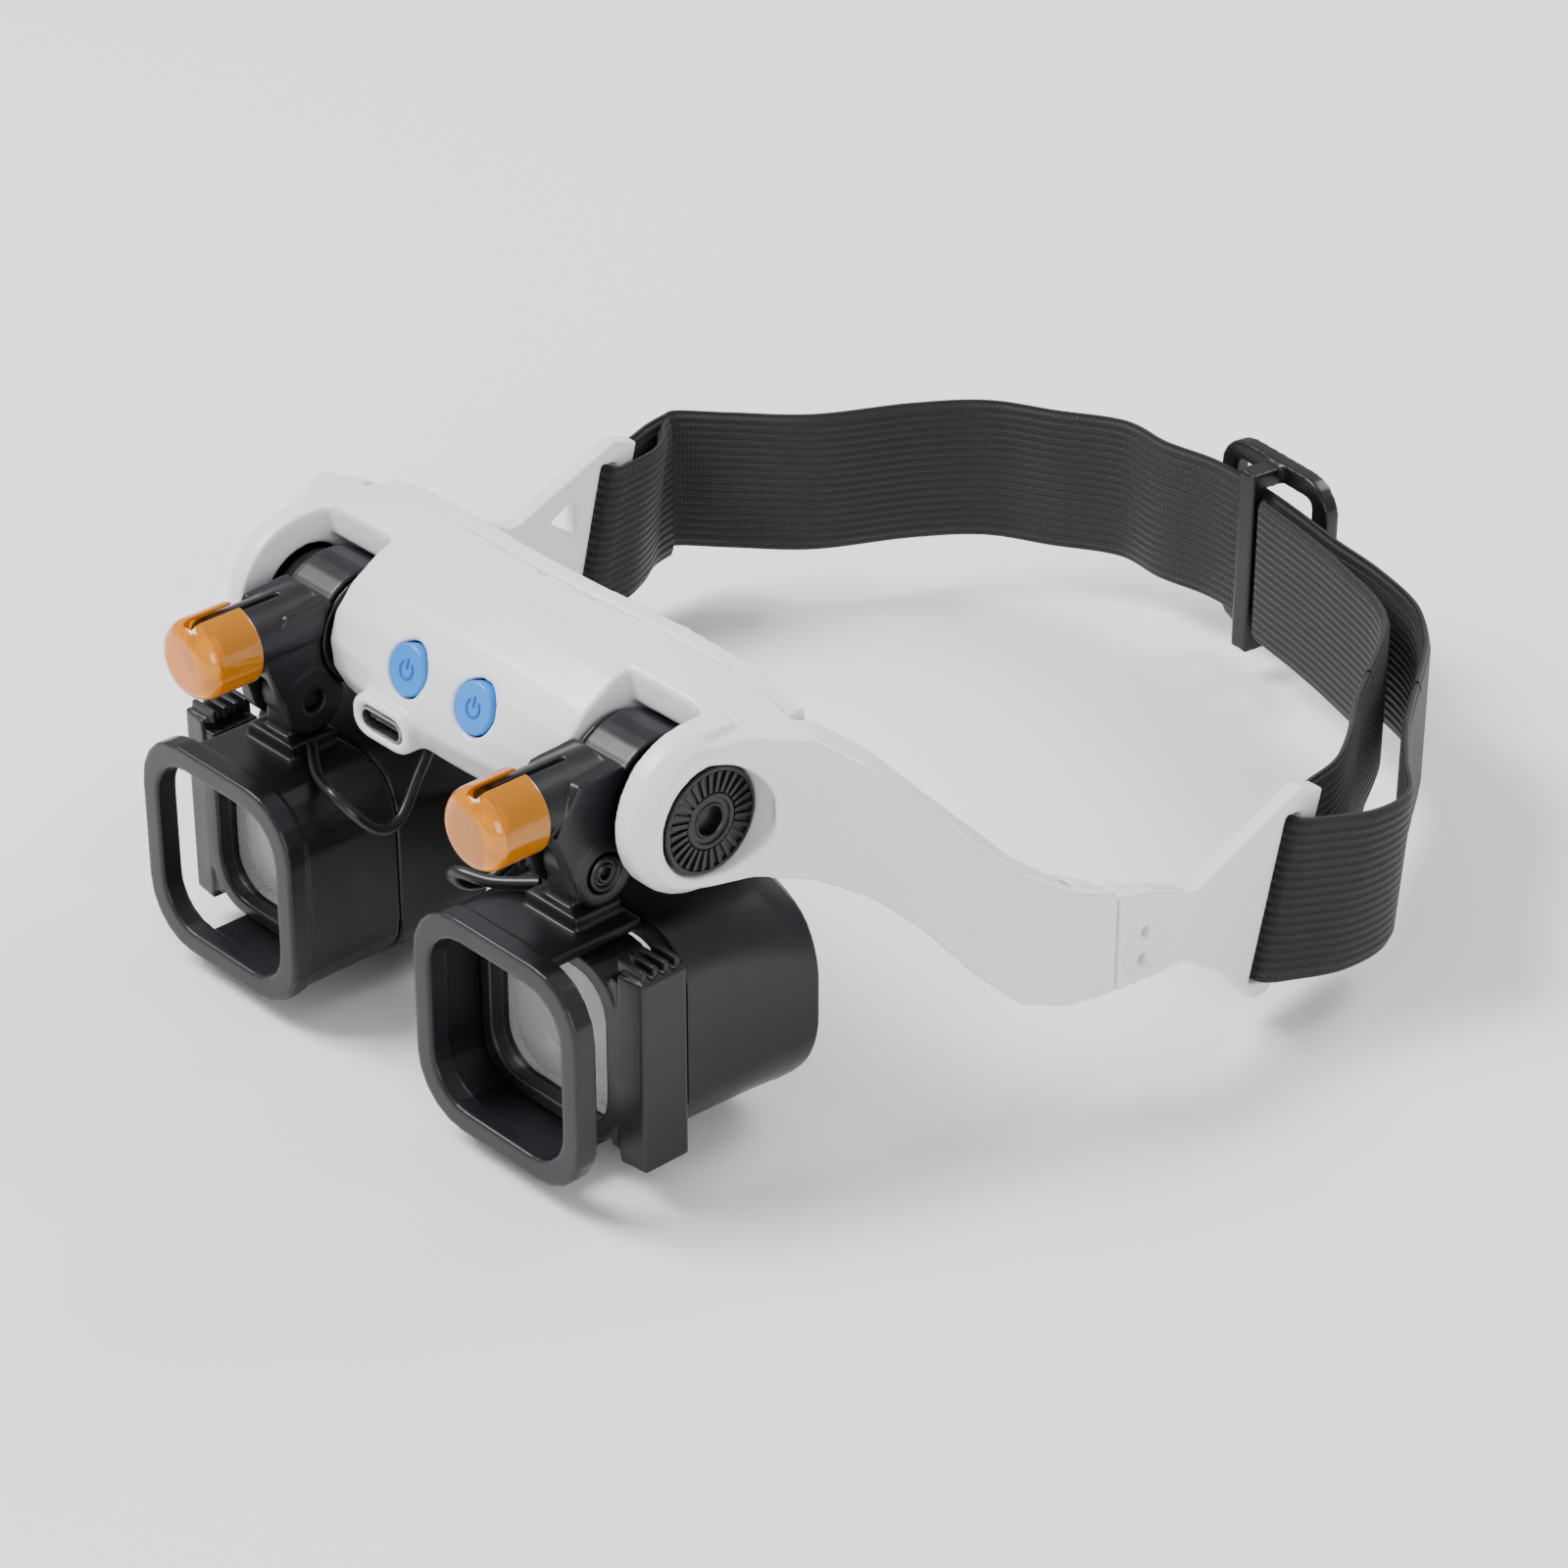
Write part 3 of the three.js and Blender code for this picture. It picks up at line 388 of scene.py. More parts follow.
def soften(piece: bpy.types.Object, angle: float) -> None:
    """Shades a piece smoothly, except over its sharp edges.

    Args:
        piece: the mesh piece.
        angle: edges sharper than this many degrees stay crisp.
    """
    piece.data.shade_smooth()
    work = bmesh.new()
    work.from_mesh(piece.data)
    limit = math.radians(angle)
    for edge in work.edges:
        edge.smooth = len(edge.link_faces) == 2 and edge.calc_face_angle(0.0) < limit
    work.to_mesh(piece.data)
    work.free()


def settled(piece: bpy.types.Object) -> bpy.types.Object:
    """Turns a piece with live modifiers into a plain mesh piece of the same name.

    Args:
        piece: the object with modifiers; it is removed.

    Returns:
        The new object.
    """
    bpy.context.view_layer.update()
    evaluated = piece.evaluated_get(bpy.context.evaluated_depsgraph_get())
    mesh = bpy.data.meshes.new_from_object(evaluated)
    name = piece.name
    bpy.data.objects.remove(piece)
    mesh.name = name
    fresh = bpy.data.objects.new(name, mesh)
    bpy.context.scene.collection.objects.link(fresh)
    return fresh


def dress(piece: bpy.types.Object, finish: Moulding | Webbing) -> bpy.types.Object:
    """Gives a piece its one finish.

    Args:
        piece: the piece.
        finish: the finish.

    Returns:
        The same piece.
    """
    piece.data.materials.clear()
    piece.data.materials.append(finish.material())
    return piece


def repaint(node: str, finish: Moulding) -> None:
    """Gives a node of the frame a finish and keeps its shape.

    Args:
        node: the node's name.
        finish: the finish.
    """
    target = frame["nodes"][node]
    if not target.material_slots:
        target.data.materials.append(finish.material())
    for held in target.material_slots:
        held.material = finish.material()
    LOG.info("finished %s", node)


def turned(name: str, profile: Sequence[tuple[float, float]], origin: Vector, axis: Vector,
           steps: int = 72) -> bpy.types.Object:
    """A turned piece: a profile spun about an axis.

    Args:
        name: the piece's name.
        profile: radius and height along the axis, in millimetres, from one end to the other.
        origin: where height 0 is, in metres.
        axis: the direction of the axis.
        steps: how many times round.

    Returns:
        The new object.
    """
    turn = axis.normalized().to_track_quat("Z", "Y").to_matrix()
    points, faces = [], []
    for radius, height in profile:
        for i in range(steps):
            a = 2 * math.pi * i / steps
            local = Vector((radius * math.cos(a), radius * math.sin(a), height)) * MM
            points.append(origin + turn @ local)
    for r in range(len(profile) - 1):
        for i in range(steps):
            j = (i + 1) % steps
            faces.append((r * steps + i, r * steps + j, (r + 1) * steps + j, (r + 1) * steps + i))
    if profile[0][0] > 0.01:
        faces.append(tuple(range(steps)))
    if profile[-1][0] > 0.01:
        last = (len(profile) - 1) * steps
        faces.append(tuple(last + i for i in range(steps)))
    return new_piece(name, points, faces, 28.0)


def round_rect(width: float, height: float, radius: float, cx: float, cz: float,
               steps: int = 14) -> list[tuple[float, float]]:
    """A rectangle with round corners, always with the same number of points.

    Args:
        width: its size along x, in millimetres.
        height: its size along z.
        radius: the corners' radius.
        cx: its middle along x.
        cz: its middle along z.
        steps: how many steps each corner takes.

    Returns:
        Its points as (x, z).
    """
    points = []
    for sx, sz, start in ((1, 1, 0), (-1, 1, 90), (-1, -1, 180), (1, -1, 270)):
        for i in range(steps + 1):
            a = math.radians(start + 90 * i / steps)
            points.append((cx + sx * (width / 2 - radius) + radius * math.cos(a),
                           cz + sz * (height / 2 - radius) + radius * math.sin(a)))
    return points


def tunnel(name: str, rings: Sequence[Sequence[Vector]], smooth: float) -> bpy.types.Object:
    """A closed skin through rings, the last joined to the first.

    Args:
        name: the piece's name.
        rings: rings of equally many points, in metres in the object's frame.
        smooth: edges sharper than this many degrees stay crisp.

    Returns:
        The new object.
    """
    count = len(rings[0])
    faces = []
    for r in range(len(rings)):
        here, after = r * count, (r + 1) % len(rings) * count
        for i in range(count):
            j = (i + 1) % count
            faces.append((here + i, here + j, after + j, after + i))
    return new_piece(name, [p for ring in rings for p in ring], faces, smooth)


def smooth_path(points: Sequence[Sequence[float]], count: int) -> list[tuple[Vector, float]]:
    """Samples a smooth curve through points.

    Args:
        points: (x, y, z) or (x, y, z, lean) in drawing millimetres.
        count: how many samples.

    Returns:
        Samples of (point in drawing millimetres, lean), evenly spaced by point number.
    """
    full = [(*p, 0.0) if len(p) == 3 else tuple(p) for p in points]
    ends = [full[0], *full, full[-1]]
    samples = []
    for k in range(count + 1):
        at = k / count * (len(full) - 1)
        i = min(int(at), len(full) - 2)
        t = at - i
        quad = [ends[i + j] for j in range(4)]
        value = []
        for c in range(4):
            p0, p1, p2, p3 = (q[c] for q in quad)
            value.append(0.5 * (2 * p1 + (p2 - p0) * t + (2 * p0 - 5 * p1 + 4 * p2 - p3) * t * t
                                + (3 * p1 - p0 - 3 * p2 + p3) * t ** 3))
        samples.append((Vector(value[:3]), value[3]))
    return samples


@dataclass(frozen=True)
class Casting:
    """How a frame node is turned into a moulded piece with soft edges."""

    node: str
    finish: Moulding
    grid: float
    passes: int
    triangles: int

    def pour(self) -> bpy.types.Object:
        """Copies the node, rounds its edges and dresses it.

        Returns:
            The moulded piece, which stands for the node.
        """
        source = frame["nodes"][self.node]
        body = source["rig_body"]
        piece = bpy.data.objects.new(f"{self.node}_moulded", source.data.copy())
        bpy.context.scene.collection.objects.link(piece)
        tidy_normals(piece)
        coarse = 1.0
        remesh = piece.modifiers.new("grid", "REMESH")
        remesh.mode = "VOXEL"
        remesh.voxel_size = self.grid * MM * coarse
        remesh.use_smooth_shade = True
        rounding = piece.modifiers.new("rounding", "SMOOTH")
        rounding.factor = 0.5
        rounding.iterations = self.passes
        piece = settled(piece)
        count = sum(len(p.vertices) - 2 for p in piece.data.polygons)
        if count > self.triangles:
            thinning = piece.modifiers.new("thinning", "DECIMATE")
            thinning.ratio = self.triangles / count
            piece = settled(piece)
        piece.data.shade_smooth()
        dress(piece, self.finish)
        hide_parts(self.node)
        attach(piece, body)
        LOG.info("moulded %s: %d faces", self.node, len(piece.data.polygons))
        return piece


# ---- repeated details ------------------------------------------------------------------------


class Detail(Enum):
    """The small shapes that are repeated over a surface."""

    STUD = "stud"
    STITCH = "stitch"
    RIB = "rib"


@dataclass
class Repeater:
    """Sets one small shape on many points with a node tree."""

    name: str
    detail: Detail
    size: tuple[float, float, float]
    finish: Moulding
    points: list[Vector] = field(default_factory=list)
    facing: list[Vector] = field(default_factory=list)
    along: list[Vector] = field(default_factory=list)

    def put(self, point: Vector, facing: Vector, along: Vector) -> None:
        """Adds one place.

        Args:
            point: where it is, in metres in the object's frame.
            facing: the way the shape's top faces.
            along: the way its length runs.
        """
        self.points.append(point)
        self.facing.append(facing.normalized())
        self.along.append(along.normalized())

    def shape_node(self, tree: bpy.types.NodeTree) -> bpy.types.Node:
        """The node that makes one unit-sized shape.

        Args:
            tree: the tree that it goes in.

        Returns:
            The node, whose Mesh output is the shape.
        """
        if self.detail is Detail.STUD:
            node = tree.nodes.new("GeometryNodeMeshCone")
            node.inputs["Vertices"].default_value = 4
            node.inputs["Radius Top"].default_value = 0.12
            node.inputs["Radius Bottom"].default_value = 0.707
            node.inputs["Depth"].default_value = 1.0
        elif self.detail is Detail.STITCH:
            node = tree.nodes.new("GeometryNodeMeshUVSphere")
            node.inputs["Segments"].default_value = 8
            node.inputs["Rings"].default_value = 6
            node.inputs["Radius"].default_value = 0.5
        else:
            node = tree.nodes.new("GeometryNodeMeshCube")
        return node

    def tree(self) -> bpy.types.NodeTree:
        """Builds the node tree, with the shape's sizes as named inputs.

        Returns:
            The tree.
        """
        tree = bpy.data.node_groups.new(f"{self.name}_tree", "GeometryNodeTree")
        tree.interface.new_socket(name="Geometry", in_out="INPUT", socket_type="NodeSocketGeometry")
        for label in ("Length", "Width", "Height"):
            tree.interface.new_socket(name=label, in_out="INPUT", socket_type="NodeSocketFloat")
        tree.interface.new_socket(name="Finish", in_out="INPUT", socket_type="NodeSocketMaterial")
        tree.interface.new_socket(name="Geometry", in_out="OUTPUT", socket_type="NodeSocketGeometry")
        new, link = tree.nodes.new, tree.links.new
        given, result = new("NodeGroupInput"), new("NodeGroupOutput")
        scale = new("ShaderNodeCombineXYZ")
        for label, letter in (("Length", "X"), ("Width", "Y"), ("Height", "Z")):
            link(given.outputs[label], scale.inputs[letter])
        rotation = None
        for attribute, axis, pivot in (("facing", "Z", "AUTO"), ("along", "X", "Z")):
            read = new("GeometryNodeInputNamedAttribute")
            read.data_type = "FLOAT_VECTOR"
            read.inputs["Name"].default_value = attribute
            align = new("FunctionNodeAlignEulerToVector")
            align.axis = axis
            align.pivot_axis = pivot
            link(read.outputs["Attribute"], align.inputs["Vector"])
            if rotation is not None:
                link(rotation, align.inputs["Rotation"])
            rotation = align.outputs["Rotation"]
        scatter = new("GeometryNodeInstanceOnPoints")
        link(given.outputs["Geometry"], scatter.inputs["Points"])
        link(self.shape_node(tree).outputs["Mesh"], scatter.inputs["Instance"])
        link(rotation, scatter.inputs["Rotation"])
        link(scale.outputs["Vector"], scatter.inputs["Scale"])
        real, painted = new("GeometryNodeRealizeInstances"), new("GeometryNodeSetMaterial")
        link(scatter.outputs["Instances"], real.inputs["Geometry"])
        link(real.outputs["Geometry"], painted.inputs["Geometry"])
        link(given.outputs["Finish"], painted.inputs["Material"])
        link(painted.outputs["Geometry"], result.inputs["Geometry"])
        return tree

    def build(self, body: str = "") -> bpy.types.Object:
        """Makes the repeated piece and lets it ride on a body.

        Args:
            body: the body's name, or nothing where the caller attaches the piece.

        Returns:
            The finished piece.
        """
        mesh = bpy.data.meshes.new(self.name)
        mesh.from_pydata([tuple(p) for p in self.points], [], [])
        for label, values in (("facing", self.facing), ("along", self.along)):
            layer = mesh.attributes.new(label, "FLOAT_VECTOR", "POINT")
            layer.data.foreach_set("vector", [c for v in values for c in v])
        piece = bpy.data.objects.new(self.name, mesh)
        bpy.context.scene.collection.objects.link(piece)
        modifier = piece.modifiers.new("repeat", "NODES")
        tree = self.tree()
        modifier.node_group = tree
        ids = {s.name: s.identifier for s in tree.interface.items_tree if s.in_out == "INPUT"}
        for label, value in zip(("Length", "Width", "Height"), self.size):
            modifier[ids[label]] = value * MM
        modifier[ids["Finish"]] = self.finish.material()
        piece = settled(piece)
        if self.detail is Detail.STITCH:
            piece.data.shade_smooth()
        dress(piece, self.finish)
        if body:
            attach(piece, body)
        LOG.info("repeated %s %d times", self.name, len(self.points))
        return piece


# ---- sub-assemblies ----------------------------------------------------------------------------


@dataclass
class Viewpoint:
    """The camera, the lights and the floor."""

    azimuth: float = 47.5
    elevation: float = 30.6
    position: tuple[float, float, float] = (0.4806, -0.3968, 0.3479)
    lens: float = 113.0
    floor: float = -0.0545

    def camera(self) -> None:
        """Sets the camera at its viewing angle."""
        a, e = math.radians(self.azimuth), math.radians(self.elevation)
        back = Vector((math.sin(a) * math.cos(e), -math.cos(a) * math.cos(e), math.sin(e)))
        right = Vector((math.cos(a), math.sin(a), 0.0))
        up = back.cross(right)
        camera = bpy.data.objects.new("camera", bpy.data.cameras.new("camera"))
        camera.data.lens = self.lens
        camera.data.clip_start = 0.01
        turn = Matrix((right, up, back)).transposed().to_4x4()
        camera.matrix_world = Matrix.Translation(Vector(self.position)) @ turn
        bpy.context.scene.collection.objects.link(camera)
        bpy.context.scene.camera = camera

    def lamp(self, name: str, where: tuple[float, float, float], size: float, power: float) -> None:
        """A square soft light that looks at the object.

        Args:
            name: the light's name.
            where: its position in metres.
            size: its side in metres.
            power: its power in watts.
        """
        light = bpy.data.objects.new(name, bpy.data.lights.new(name, "AREA"))
        light.data.size = size
        light.data.energy = power
        aim = (Vector((0.0, 0.03, -0.01)) - Vector(where)).normalized()
        turn = aim.to_track_quat("-Z", "Y").to_matrix().to_4x4()
        light.matrix_world = Matrix.Translation(Vector(where)) @ turn
        bpy.context.scene.collection.objects.link(light)

    def floor_and_world(self) -> None:
        """Lays a plain pale floor under a plain pale sky."""
        reach = 6.0
        plan = ((-reach, -reach), (reach, -reach), (reach, reach), (-reach, reach))
        corners = [Vector((x, y, self.floor)) for x, y in plan]
        ground = new_piece("floor", corners, [(0, 1, 2, 3)])
        nodes = Nodes("pale_floor")
        nodes.shader.inputs["Base Color"].default_value = (0.88, 0.88, 0.885, 1.0)
        nodes.fixed(Roughness=0.75, Specular_IOR_Level=0.2)
        ground.data.materials.append(nodes.material)
        world = bpy.data.worlds.new("studio")
        world.use_nodes = True
        world.node_tree.nodes["Background"].inputs["Color"].default_value = (1.0, 1.0, 1.0, 1.0)
        world.node_tree.nodes["Background"].inputs["Strength"].default_value = 0.62
        bpy.context.scene.world = world

    def build(self) -> None:
        """Makes the whole stage."""
        self.camera()
        self.floor_and_world()
        self.lamp("key", (-0.55, -0.45, 0.95), 0.55, 22.0)
        self.lamp("fill", (0.95, -0.35, 0.35), 0.5, 5.0)
        self.lamp("rim", (0.1, 0.95, 0.7), 0.5, 9.0)


@dataclass
class LampLead:
    """The lead from a lamp down and back into the brow housing."""

    side: Side
    radius: float = 0.9
    route: tuple[tuple[float, float, float], ...] = (
        (26.0, -13.0, -14.4), (20.0, -16.6, -15.4), (14.4, -18.2, -15.6), (11.0, -17.0, -18.0),
        (10.2, -13.4, -21.6), (10.8, -9.0, -21.8), (12.6, -4.0, -17.4), (14.0, 0.2, -13.6))

    def build(self) -> None:
        sign, label = self.side.value, self.side.label
        samples = [place(sign * p.x, p.y, p.z) for p, _ in smooth_path(self.route, 60)]
        points, faces, sides = [], [], 14
        for i, at in enumerate(samples):
            ahead = samples[min(i + 1, len(samples) - 1)] - samples[max(i - 1, 0)]
            turn = ahead.to_track_quat("Z", "X").to_matrix()
            for k in range(sides):
                a = 2 * math.pi * k / sides
                points.append(at + turn @ (Vector((math.cos(a), math.sin(a), 0)) * self.radius * MM))
        for i in range(len(samples) - 1):
            start = points[i * sides]
            nearest = min(range(sides), key=lambda s: (points[(i + 1) * sides + s] - start).length)
            for k in range(sides):
                m = (k + 1) % sides
                faces.append((i * sides + k, i * sides + m, (i + 1) * sides + (m + nearest) % sides,
                              (i + 1) * sides + (k + nearest) % sides))
        faces.append(tuple(range(sides)))
        faces.append(tuple((len(samples) - 1) * sides + k for k in range(sides)))
        piece = new_piece(f"lead_{label}", points, faces, 60.0)
        dress(piece, LEAD_BLACK)
        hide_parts(f"lamp_lead_{label}")
        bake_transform(piece)


@dataclass
class BrowHousing:
    """The white housing, its rear cover, the forehead pad, the nose bridge and the controls."""

    stud_pitch: float = 3.3
    stud_height: float = 0.75
    button_x: float = 7.45
    button_tilt: float = 18.0

    def build(self) -> None:
        """Makes the housing's pieces."""
        Casting("housing_shell", WHITE, 0.34, 26, 150000).pour()
        Casting("rear_cover", WHITE, 0.36, 12, 60000).pour()
        pad = Casting("forehead_pad", SOFT_BLACK, 0.5, 5, 30000).pour()
        Casting("nose_bridge", CHARCOAL, 0.3, 6, 24000).pour()
        self.studs()
        for side in Side:
            self.button(side)
        self.dress_inside()

    def studs(self) -> None:
        """Sets the pad's surface with a diamond grid of low studs inside its border."""
        size = (self.stud_pitch, self.stud_pitch, self.stud_height)
        studs = Repeater("pad_studs", Detail.STUD, size, SOFT_BLACK)
        half = self.stud_pitch / 2
        for row in range(-12, 9):
            for column in range(-26, 27):
                x, z = column * half * 1.42, row * half * 1.42
                if (row + column) % 2 or not self.inside_pad(x, z, 2.6):
                    continue
                facing = Vector((-0.0046 * x, 1.0, -0.1))
                foot = pad_depth(x, z) + 0.45 * self.stud_height * 0.5
                studs.put(place(x, foot, z), facing, Vector((1, 0, 0)))
        studs.build("frame")

    def inside_pad(self, x: float, z: float, margin: float) -> bool:
        """Whether a place lies inside the pad's border.

        Args:
            x: across, in drawing millimetres.
            z: up, in drawing millimetres.
            margin: the border's width.

        Returns:
            True where a stud may stand.
        """
        top = [(0, 12.6), (8, 12.6), (17, 11.4), (26.2, 9.6), (26.6, 11.6), (42, 8.0)]
        low = [(0, -20.6), (6.8, -20.6), (7.2, -17.4), (11, -15),
               (18, -12), (27, -10), (34, -10), (41, -11.2)]

        def edge(line: list[tuple[float, float]]) -> float:
            """Finds a border line's height at this x, on either side.

            Args:
                line: the line's corners as (x, z), from the middle outwards.

            Returns:
                The height, in drawing millimetres.
            """
            at = abs(x)
            for (x0, z0), (x1, z1) in zip(line, line[1:]):
                if x0 <= at <= x1:
                    return z0 + (z1 - z0) * (at - x0) / (x1 - x0)
            return 0.0

        return abs(x) < 41 - margin and edge(low) + margin < z < edge(top) - margin

    def button(self, side: Side) -> None:
        """A dished round button with a raised switch mark.

        Args:
            side: which of the two buttons.
        """
        sign, label = side.value, side.label
        tilt = math.radians(self.button_tilt)
        outward = Vector((0, -math.cos(tilt), math.sin(tilt)))
        origin = place(sign * self.button_x, -10.4, 4.9)
        profile = [(0.0, -4.6), (1.2, -4.6), (1.2, -3.4), (3.9, -3.4),
                   (3.9, -1.65), (3.8, -1.4), (3.6, -1.27),
                   (3.2, -1.28), (2.4, -1.31), (1.2, -1.33), (0.0, -1.34)]
        cap = turned(f"button_cap_{label}", profile, origin, outward)
        dress(cap, BUTTON_BLUE)
        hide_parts(f"button_{label}")
        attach(cap, f"button_{label}")
        mark = self.switch_mark(f"button_mark_{label}", origin - outward * 0.00134, outward)
        dress(mark, BUTTON_MARK)
        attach(mark, f"button_{label}")
        LOG.info("button %s", label)

    def switch_mark(self, name: str, origin: Vector, outward: Vector) -> bpy.types.Object:
        """An open ring with a bar in its gap, standing a little proud of the button.

        Args:
            name: the piece's name.
            origin: the middle of the button's face, in metres.
            outward: the way the face looks.

        Returns:
            The new piece.
        """
        across = Vector((1, 0, 0))
        up = outward.cross(across).normalized()
        up = up if up.z > 0 else -up
        radius = 1.35
        arc = [(radius * math.sin(math.radians(a)), radius * math.cos(math.radians(a)))
               for a in range(40, 321, 8)]
        points: list[Vector] = []
        faces: list[tuple[int, ...]] = []
        for line in (arc, [(0.0, 1.75), (0.0, 1.2), (0.0, 0.6), (0.0, 0.15)]):
            start = len(points)
            for i, (u, v) in enumerate(line):
                before, after = line[max(i - 1, 0)], line[min(i + 1, len(line) - 1)]
                along = Vector((after[0] - before[0], after[1] - before[1])).normalized()
                for s, h in ((-0.2, -0.12), (-0.2, 0.09), (-0.1, 0.15),
                             (0.1, 0.15), (0.2, 0.09), (0.2, -0.12)):
                    flat = across * (u - along.y * s) + up * (v + along.x * s) + outward * h
                    points.append(origin + flat * MM)
            for i in range(len(line) - 1):
                for k in range(6):
                    m = (k + 1) % 6
                    a = start + i * 6
                    faces.append((a + k, a + m, a + 6 + m, a + 6 + k))
            faces.append(tuple(start + k for k in range(6)))
            faces.append(tuple(start + (len(line) - 1) * 6 + k for k in range(6)))
        return new_piece(name, points, faces, 50.0)

    def dress_inside(self) -> None:
        """Finishes the electronics and the small fixings."""
        repaint("usb_shell", PORT_STEEL)
        repaint("usb_tongue", CHARCOAL)
        repaint("circuit_board", BOARD_GREEN)
        repaint("battery", CELL_FOIL)
        for i in range(1, 5):
            repaint(f"cover_screw_{i}", SCREW_STEEL)
        for side in Side:
            repaint(f"tact_switch_{side.label}", PORT_STEEL)
            self.pin(side)


    def pin(self, side: Side) -> None:
        """A strap arm's hinge pin, with domed ends sunk in their holes.

        Args:
            side: which side's pin.
        """
        profile = [(0.0, -17.2), (0.6, -17.1), (0.95, -16.7), (1.0, -16.3),
                   (1.0, -0.9), (0.95, -0.5), (0.6, -0.1),
                   (0.0, 0.0)]
        top = place(side.value * 72.7, 43.75, -17.4)
        pin = turned(f"pin_turned_{side.label}", profile, top, Vector((0, 0, 1)), 32)
        dress(pin, SCREW_STEEL)
        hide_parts(f"hinge_pin_{side.label}")
        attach(pin, "frame")
        LOG.info("pin %s", side.label)


@dataclass
class SpacingKnob:
    """The ribbed knob in the boss that sets the spacing of the eyepieces."""

    side: Side
    radius: float = 8.2
    face: float = 47.6
    ribs: int = 28

    def build(self) -> None:
        """Makes the knob's ringed face, its ribs and the screw behind it."""
        sign, label = self.side.value, self.side.label
        outward = Vector((sign, 0, 0))
        origin = place(sign * self.face, 0, 0)
        profile = [(0.0, -2.2), (self.radius, -2.2), (self.radius, -0.25),
                   (8.05, -0.05), (7.8, 0.0), (7.55, -0.05),
                   (7.45, -0.45), (4.35, -0.45), (4.25, -0.1),
                   (4.1, 0.05), (3.7, 0.08), (3.5, 0.0), (3.35, -0.3),
                   (2.75, -0.34), (2.6, -0.15), (2.35, -0.12), (2.2, -0.25), (2.1, -1.6), (0.0, -1.6)]
        face = turned(f"knob_face_{label}", profile, origin, outward, 96)
        dress(face, HUB_BLACK)
        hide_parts(f"knob_{label}")
        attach(face, f"knob_{label}")
        ribs = Repeater(f"knob_ribs_{label}", Detail.RIB, (3.0, 0.62, 0.5), HUB_BLACK)
        for i in range(self.ribs):
            a = 2 * math.pi * i / self.ribs
            out = Vector((0, math.cos(a), math.sin(a)))
            ribs.put(origin + (out * 5.92 + outward * -0.28) * MM, outward, out)
        ribs.build(f"knob_{label}")
        repaint(f"lead_screw_{label}", SCREW_STEEL)
        LOG.info("knob %s", label)


@dataclass
class LampUnit:
    """The hub on its carriage, the lamp with its amber cap, and the pivot screw."""

    side: Side

    def build(self) -> None:
        """Makes the lamp's pieces."""
        label = self.side.label
        Casting(f"carriage_{label}", HUB_BLACK, 0.26, 12, 24000).pour()
        Casting(f"lamp_arm_{label}", CHARCOAL, 0.22, 14, 60000).pour()
        self.cap()
        repaint(f"lamp_led_{label}", LAMP_RESIN)
        self.pivot()

    def cap(self) -> None:
        """The amber cap: a domed cup with a slot for the lamp's key and a moulded window frame."""
        label = self.side.label
        origin = place(self.side.value * 32.0, -20.6, 3.4)
        dome = [(6.25 - 3.0 * (1 - math.cos(math.radians(a))), 7.2 + 3.0 * math.sin(math.radians(a)))
                for a in range(0, 91, 9)]
        profile = [(5.66, 7.4), (5.66, 0.25), (5.8, 0.0), (6.1, 0.0),
                   (6.25, 0.2), (6.25, 3.0), (6.25, 6.0), *dome,
                   (1.6, 10.2), (0.0, 10.2)]
        profile = [(0.0, 7.55), (5.4, 7.55), *profile]
        cap = turned(f"cap_moulded_{label}", profile, origin, Vector((0, -1, 0)), 80)
        slot = self.bar(f"cap_slot_{label}", (-1.05, 1.05), (-29.4, -20.0), (6.2, 10.5))
        carve = cap.modifiers.new("slot", "BOOLEAN")
        carve.operation = "DIFFERENCE"
        carve.solver = "EXACT"
        carve.object = slot
        cap = settled(cap)
        bpy.data.objects.remove(slot)
        voxel = 0.00017
        for modifier, values in (("REMESH", {"mode": "VOXEL", "voxel_size": voxel}),
                                 ("SMOOTH", {"factor": 0.5, "iterations": 5}), ("DECIMATE", {"ratio": 0.5})):
            made = cap.modifiers.new(modifier.lower(), modifier)
            for key, value in values.items():
                setattr(made, key, value)
        cap = settled(cap)
        cap.data.shade_smooth()
        dress(cap, AMBER)
        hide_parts(f"lamp_cap_{label}")
        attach(cap, f"lamp_cap_{label}")
        LOG.info("cap %s", label)

    def bar(self, name: str, across: tuple[float, float], along: tuple[float, float],
            up: tuple[float, float]) -> bpy.types.Object:
        """A plain bar used to carve a slot.

        Args:
            name: the bar's name.
            across: its reach either side of the lamp's middle, in millimetres.
            along: its reach along y.
            up: its reach along z.

        Returns:
            The bar.
        """
        points = [place(self.side.value * 32.0 + x, y, z) for x in across for y in along for z in up]
        faces = [(0, 1, 3, 2), (4, 6, 7, 5), (0, 4, 5, 1), (2, 3, 7, 6), (0, 2, 6, 4), (1, 5, 7, 3)]
        return new_piece(name, points, faces)

    def pivot(self) -> None:
        """The ringed head of the tilt pivot."""
        sign, label = self.side.value, self.side.label
        outward = Vector((sign, 0, 0))
        origin = place(sign * 38.2, -11.2, -8.0)
        profile = [(0.0, -10.0), (1.5, -10.0), (1.5, -0.9), (2.8, -0.9),
                   (2.8, 0.05), (2.65, 0.16), (2.3, 0.18),
                   (2.05, 0.05), (1.9, -0.2), (1.6, -0.22), (1.45, 0.0),
                   (1.3, 0.08), (1.05, 0.05), (0.95, -0.1),
                   (0.9, -0.8), (0.0, -0.8)]
        head = turned(f"pivot_head_{label}", profile, origin, outward)
        dress(head, HUB_BLACK)
        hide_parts(f"pivot_screw_{label}")
        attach(head, f"lamp_{label}")
        LOG.info("pivot %s", label)


